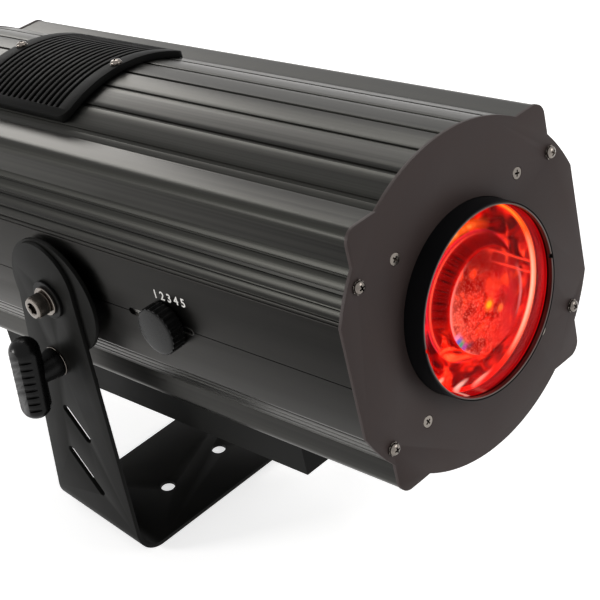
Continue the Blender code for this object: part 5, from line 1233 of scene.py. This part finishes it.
def makeRearSockets():
    sizes, face, row = rear, plates["rearFace"], rear["row"]
    makeWell("powerInletShell", inlet, "power_inlet")
    makeWell("powerSwitchCase", switch, "power_switch_case")
    middle = face - inlet["size"][1] + inlet["floor"] + sizes["pin"][1] / 2
    pins = joined("inletPins", *[smallBlock("pin", sizes["pin"], (inlet["x"] + x, middle, row + z))
                                 for x, z in sizes["pins"]])
    roundEdges(pins, sizes["pinEdge"], 2)
    finishPiece(pins, "plated")
    radius, bore, ring = sizes["signalRadius"], sizes["signalBore"], sizes["contactRing"]
    floor, deep = sizes["signalFloor"], -sizes["signalDepth"]
    profile = [(0, floor), (bore, floor), (bore, -0.0008), (bore + 0.0003, -0.0003), (bore + 0.0009, 0),
               (radius - 0.0004, 0), (radius, -0.0004), (radius, deep), (0, deep)]
    middle = face + floor + sizes["contactLength"] / 2
    for i, x in enumerate(sizes["signals"]):
        shell = spunShape("signalSocketShell%d" % (i + 1), profile, 64)
        finishPiece(shell, "nylon", ["signal_socket_%d" % (i + 1)], (x, face, row), toRear)
        turns = [radians(turn) for turn in sizes["contactTurns"]]
        contacts = joined("signalContacts%d" % (i + 1), *[
            roundBar("contact", sizes["contact"], sizes["contactLength"],
                     (x + ring * cos(a), middle, row + ring * sin(a)), toRear, 24) for a in turns])
        roundEdges(contacts, sizes["contactEdge"], 2)
        finishPiece(contacts, "plated")


def makeMenuButtons():
    for number, x in enumerate(rear["buttons"], 1):
        button = spunShape("menuButtonCap%d" % number, rear["buttonLine"], 48)
        finishPiece(button, "nylon", ["menu_button_%d" % number],
                    (x, rear["buttonBack"], rear["buttonHeight"]), toRear, "button_%d" % number)


print("Rear plate, handle and sockets")
makeRearPlate()
makeRearHandle()
makeRearSockets()
makeMenuButtons()


# CAD pieces that stay, with their finishes

dressing = {
    "plated": ["pivot_block_left", "pivot_block_right", "focus_stud", "guide_rod_1", "guide_rod_2",
               "wheel_shaft", "wheel_motor", "clamp_nut"],
    "nylon": ["pivot_spacer_left", "fan_frame", "fan_rotor"],
    "gloss": ["power_rocker"],
    "aluminium": ["slot_strip", "focus_carriage", "optical_tray", "rod_plate", "gate_plate", "colour_wheel",
                  "heat_sink", "condenser_tube", "lamp_driver"],
    "board": ["emitter_board", "control_board"],
    "bracket": ["driver_box"],
    "window": ["display_window"],
    "glass": ["carriage_lens", "condenser_lens"],
}
for finish, names in dressing.items():
    for name in names:
        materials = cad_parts[name].data.materials
        materials.clear()
        materials.append(finishes[finish])
for pattern in (panScrew, sunkScrew):
    bpy.data.objects.remove(pattern, do_unlink=True)


# Camera, light and floor

cameraFit = {
    "place": (-0.5926, -0.7501, 0.8432), "lens": 96.8, "sensor": 36,
    "right": (0.68686, -0.72295, -0.07463), "up": (0.47592, 0.36979, 0.79797),
    "forward": (0.54929, 0.58362, -0.59806),
}
softLights = [      # name, place, size in metres, power in watts, tint
    ("topSoftbox", (0.9, 1.2, 1.6), 0.8, 11.0, (1.0, 0.985, 0.96)),
    ("rearSoftbox", (0.6, 1.5, 0.8), 0.6, 6.0, (1.0, 0.985, 0.96)),
    ("frontSoftbox", (0.9, -1.7, 1.1), 0.9, 9.0, (1.0, 0.98, 0.96)),
    ("leftSoftbox", (-1.6, 1.15, 0.62), 0.45, 20.0, (1.0, 0.985, 0.97)),
]
white = (1, 1, 1, 1)
studio = {
    "aim": (0, -0.05, 0.2), "lighting": 0.45, "seen": 1.0,
    "paper": (0.85, 0.85, 0.85, 1), "lift": 0.62, "floorSize": 12, "floorPlace": (0, 0, -0.0005),
}


def makeCamera():
    selectOnly()
    bpy.ops.object.camera_add()
    camera = newest("photographView")
    camera.data.lens = cameraFit["lens"]
    camera.data.sensor_width = cameraFit["sensor"]
    right, up, ahead = (Vector(cameraFit[name]).normalized() for name in ("right", "up", "forward"))
    turn = Matrix((right, up, -ahead)).transposed().to_4x4()
    camera.matrix_world = Matrix.Translation(cameraFit["place"]) @ turn
    bpy.context.scene.camera = camera


def seenOrLighting(tree, lighting, seen):
    # What the camera, a gloss or clear glass sees, and what only lights the scene
    rays = addNode(tree, "LightPath").outputs
    share = figure(tree, "MAXIMUM", rays["Is Camera Ray"],
                   figure(tree, "MAXIMUM", rays["Is Glossy Ray"], rays["Is Transmission Ray"]))
    return addNode(tree, "MixShader", {}, {0: share, 1: lighting.outputs[0], 2: seen.outputs[0]}).outputs[0]


def makeLights():
    for name, place, size, power, tint in softLights:
        selectOnly()
        aim = (Vector(studio["aim"]) - Vector(place)).to_track_quat("-Z", "Y").to_euler()
        bpy.ops.object.light_add(type="AREA", location=place, rotation=aim)
        lamp = newest(name).data
        lamp.shape = "SQUARE"
        lamp.size = size
        lamp.energy = power
        lamp.color = tint
    world = bpy.data.worlds.new("studio")
    bpy.context.scene.world = world
    tree = emptyTree(world)
    soft = addNode(tree, "Background", {"Color": white, "Strength": studio["lighting"]})
    bright = addNode(tree, "Background", {"Color": white, "Strength": studio["seen"]})
    addNode(tree, "OutputWorld", {}, {"Surface": seenOrLighting(tree, soft, bright)})


def makeFloor():
    # White studio floor: matt paper, lifted to white where the camera or a reflection sees it
    material = bpy.data.materials.new("whitePaperFloor")
    tree = emptyTree(material)
    paper = addNode(tree, "BsdfDiffuse", {"Color": studio["paper"]})
    glow = addNode(tree, "Emission", {"Color": white, "Strength": studio["lift"]})
    lifted = addNode(tree, "AddShader", {}, {0: paper.outputs[0], 1: glow.outputs[0]})
    addNode(tree, "OutputMaterial", {}, {"Surface": seenOrLighting(tree, paper, lifted)})
    selectOnly()
    bpy.ops.mesh.primitive_plane_add(size=studio["floorSize"], location=studio["floorPlace"])
    floor = newest("studioFloor")
    floor.data.materials.append(material)


print("Camera, light and floor")
makeCamera()
makeLights()
makeFloor()
bpy.context.scene.view_settings.view_transform = "Standard"

bpy.context.view_layer.update()
print("Done")
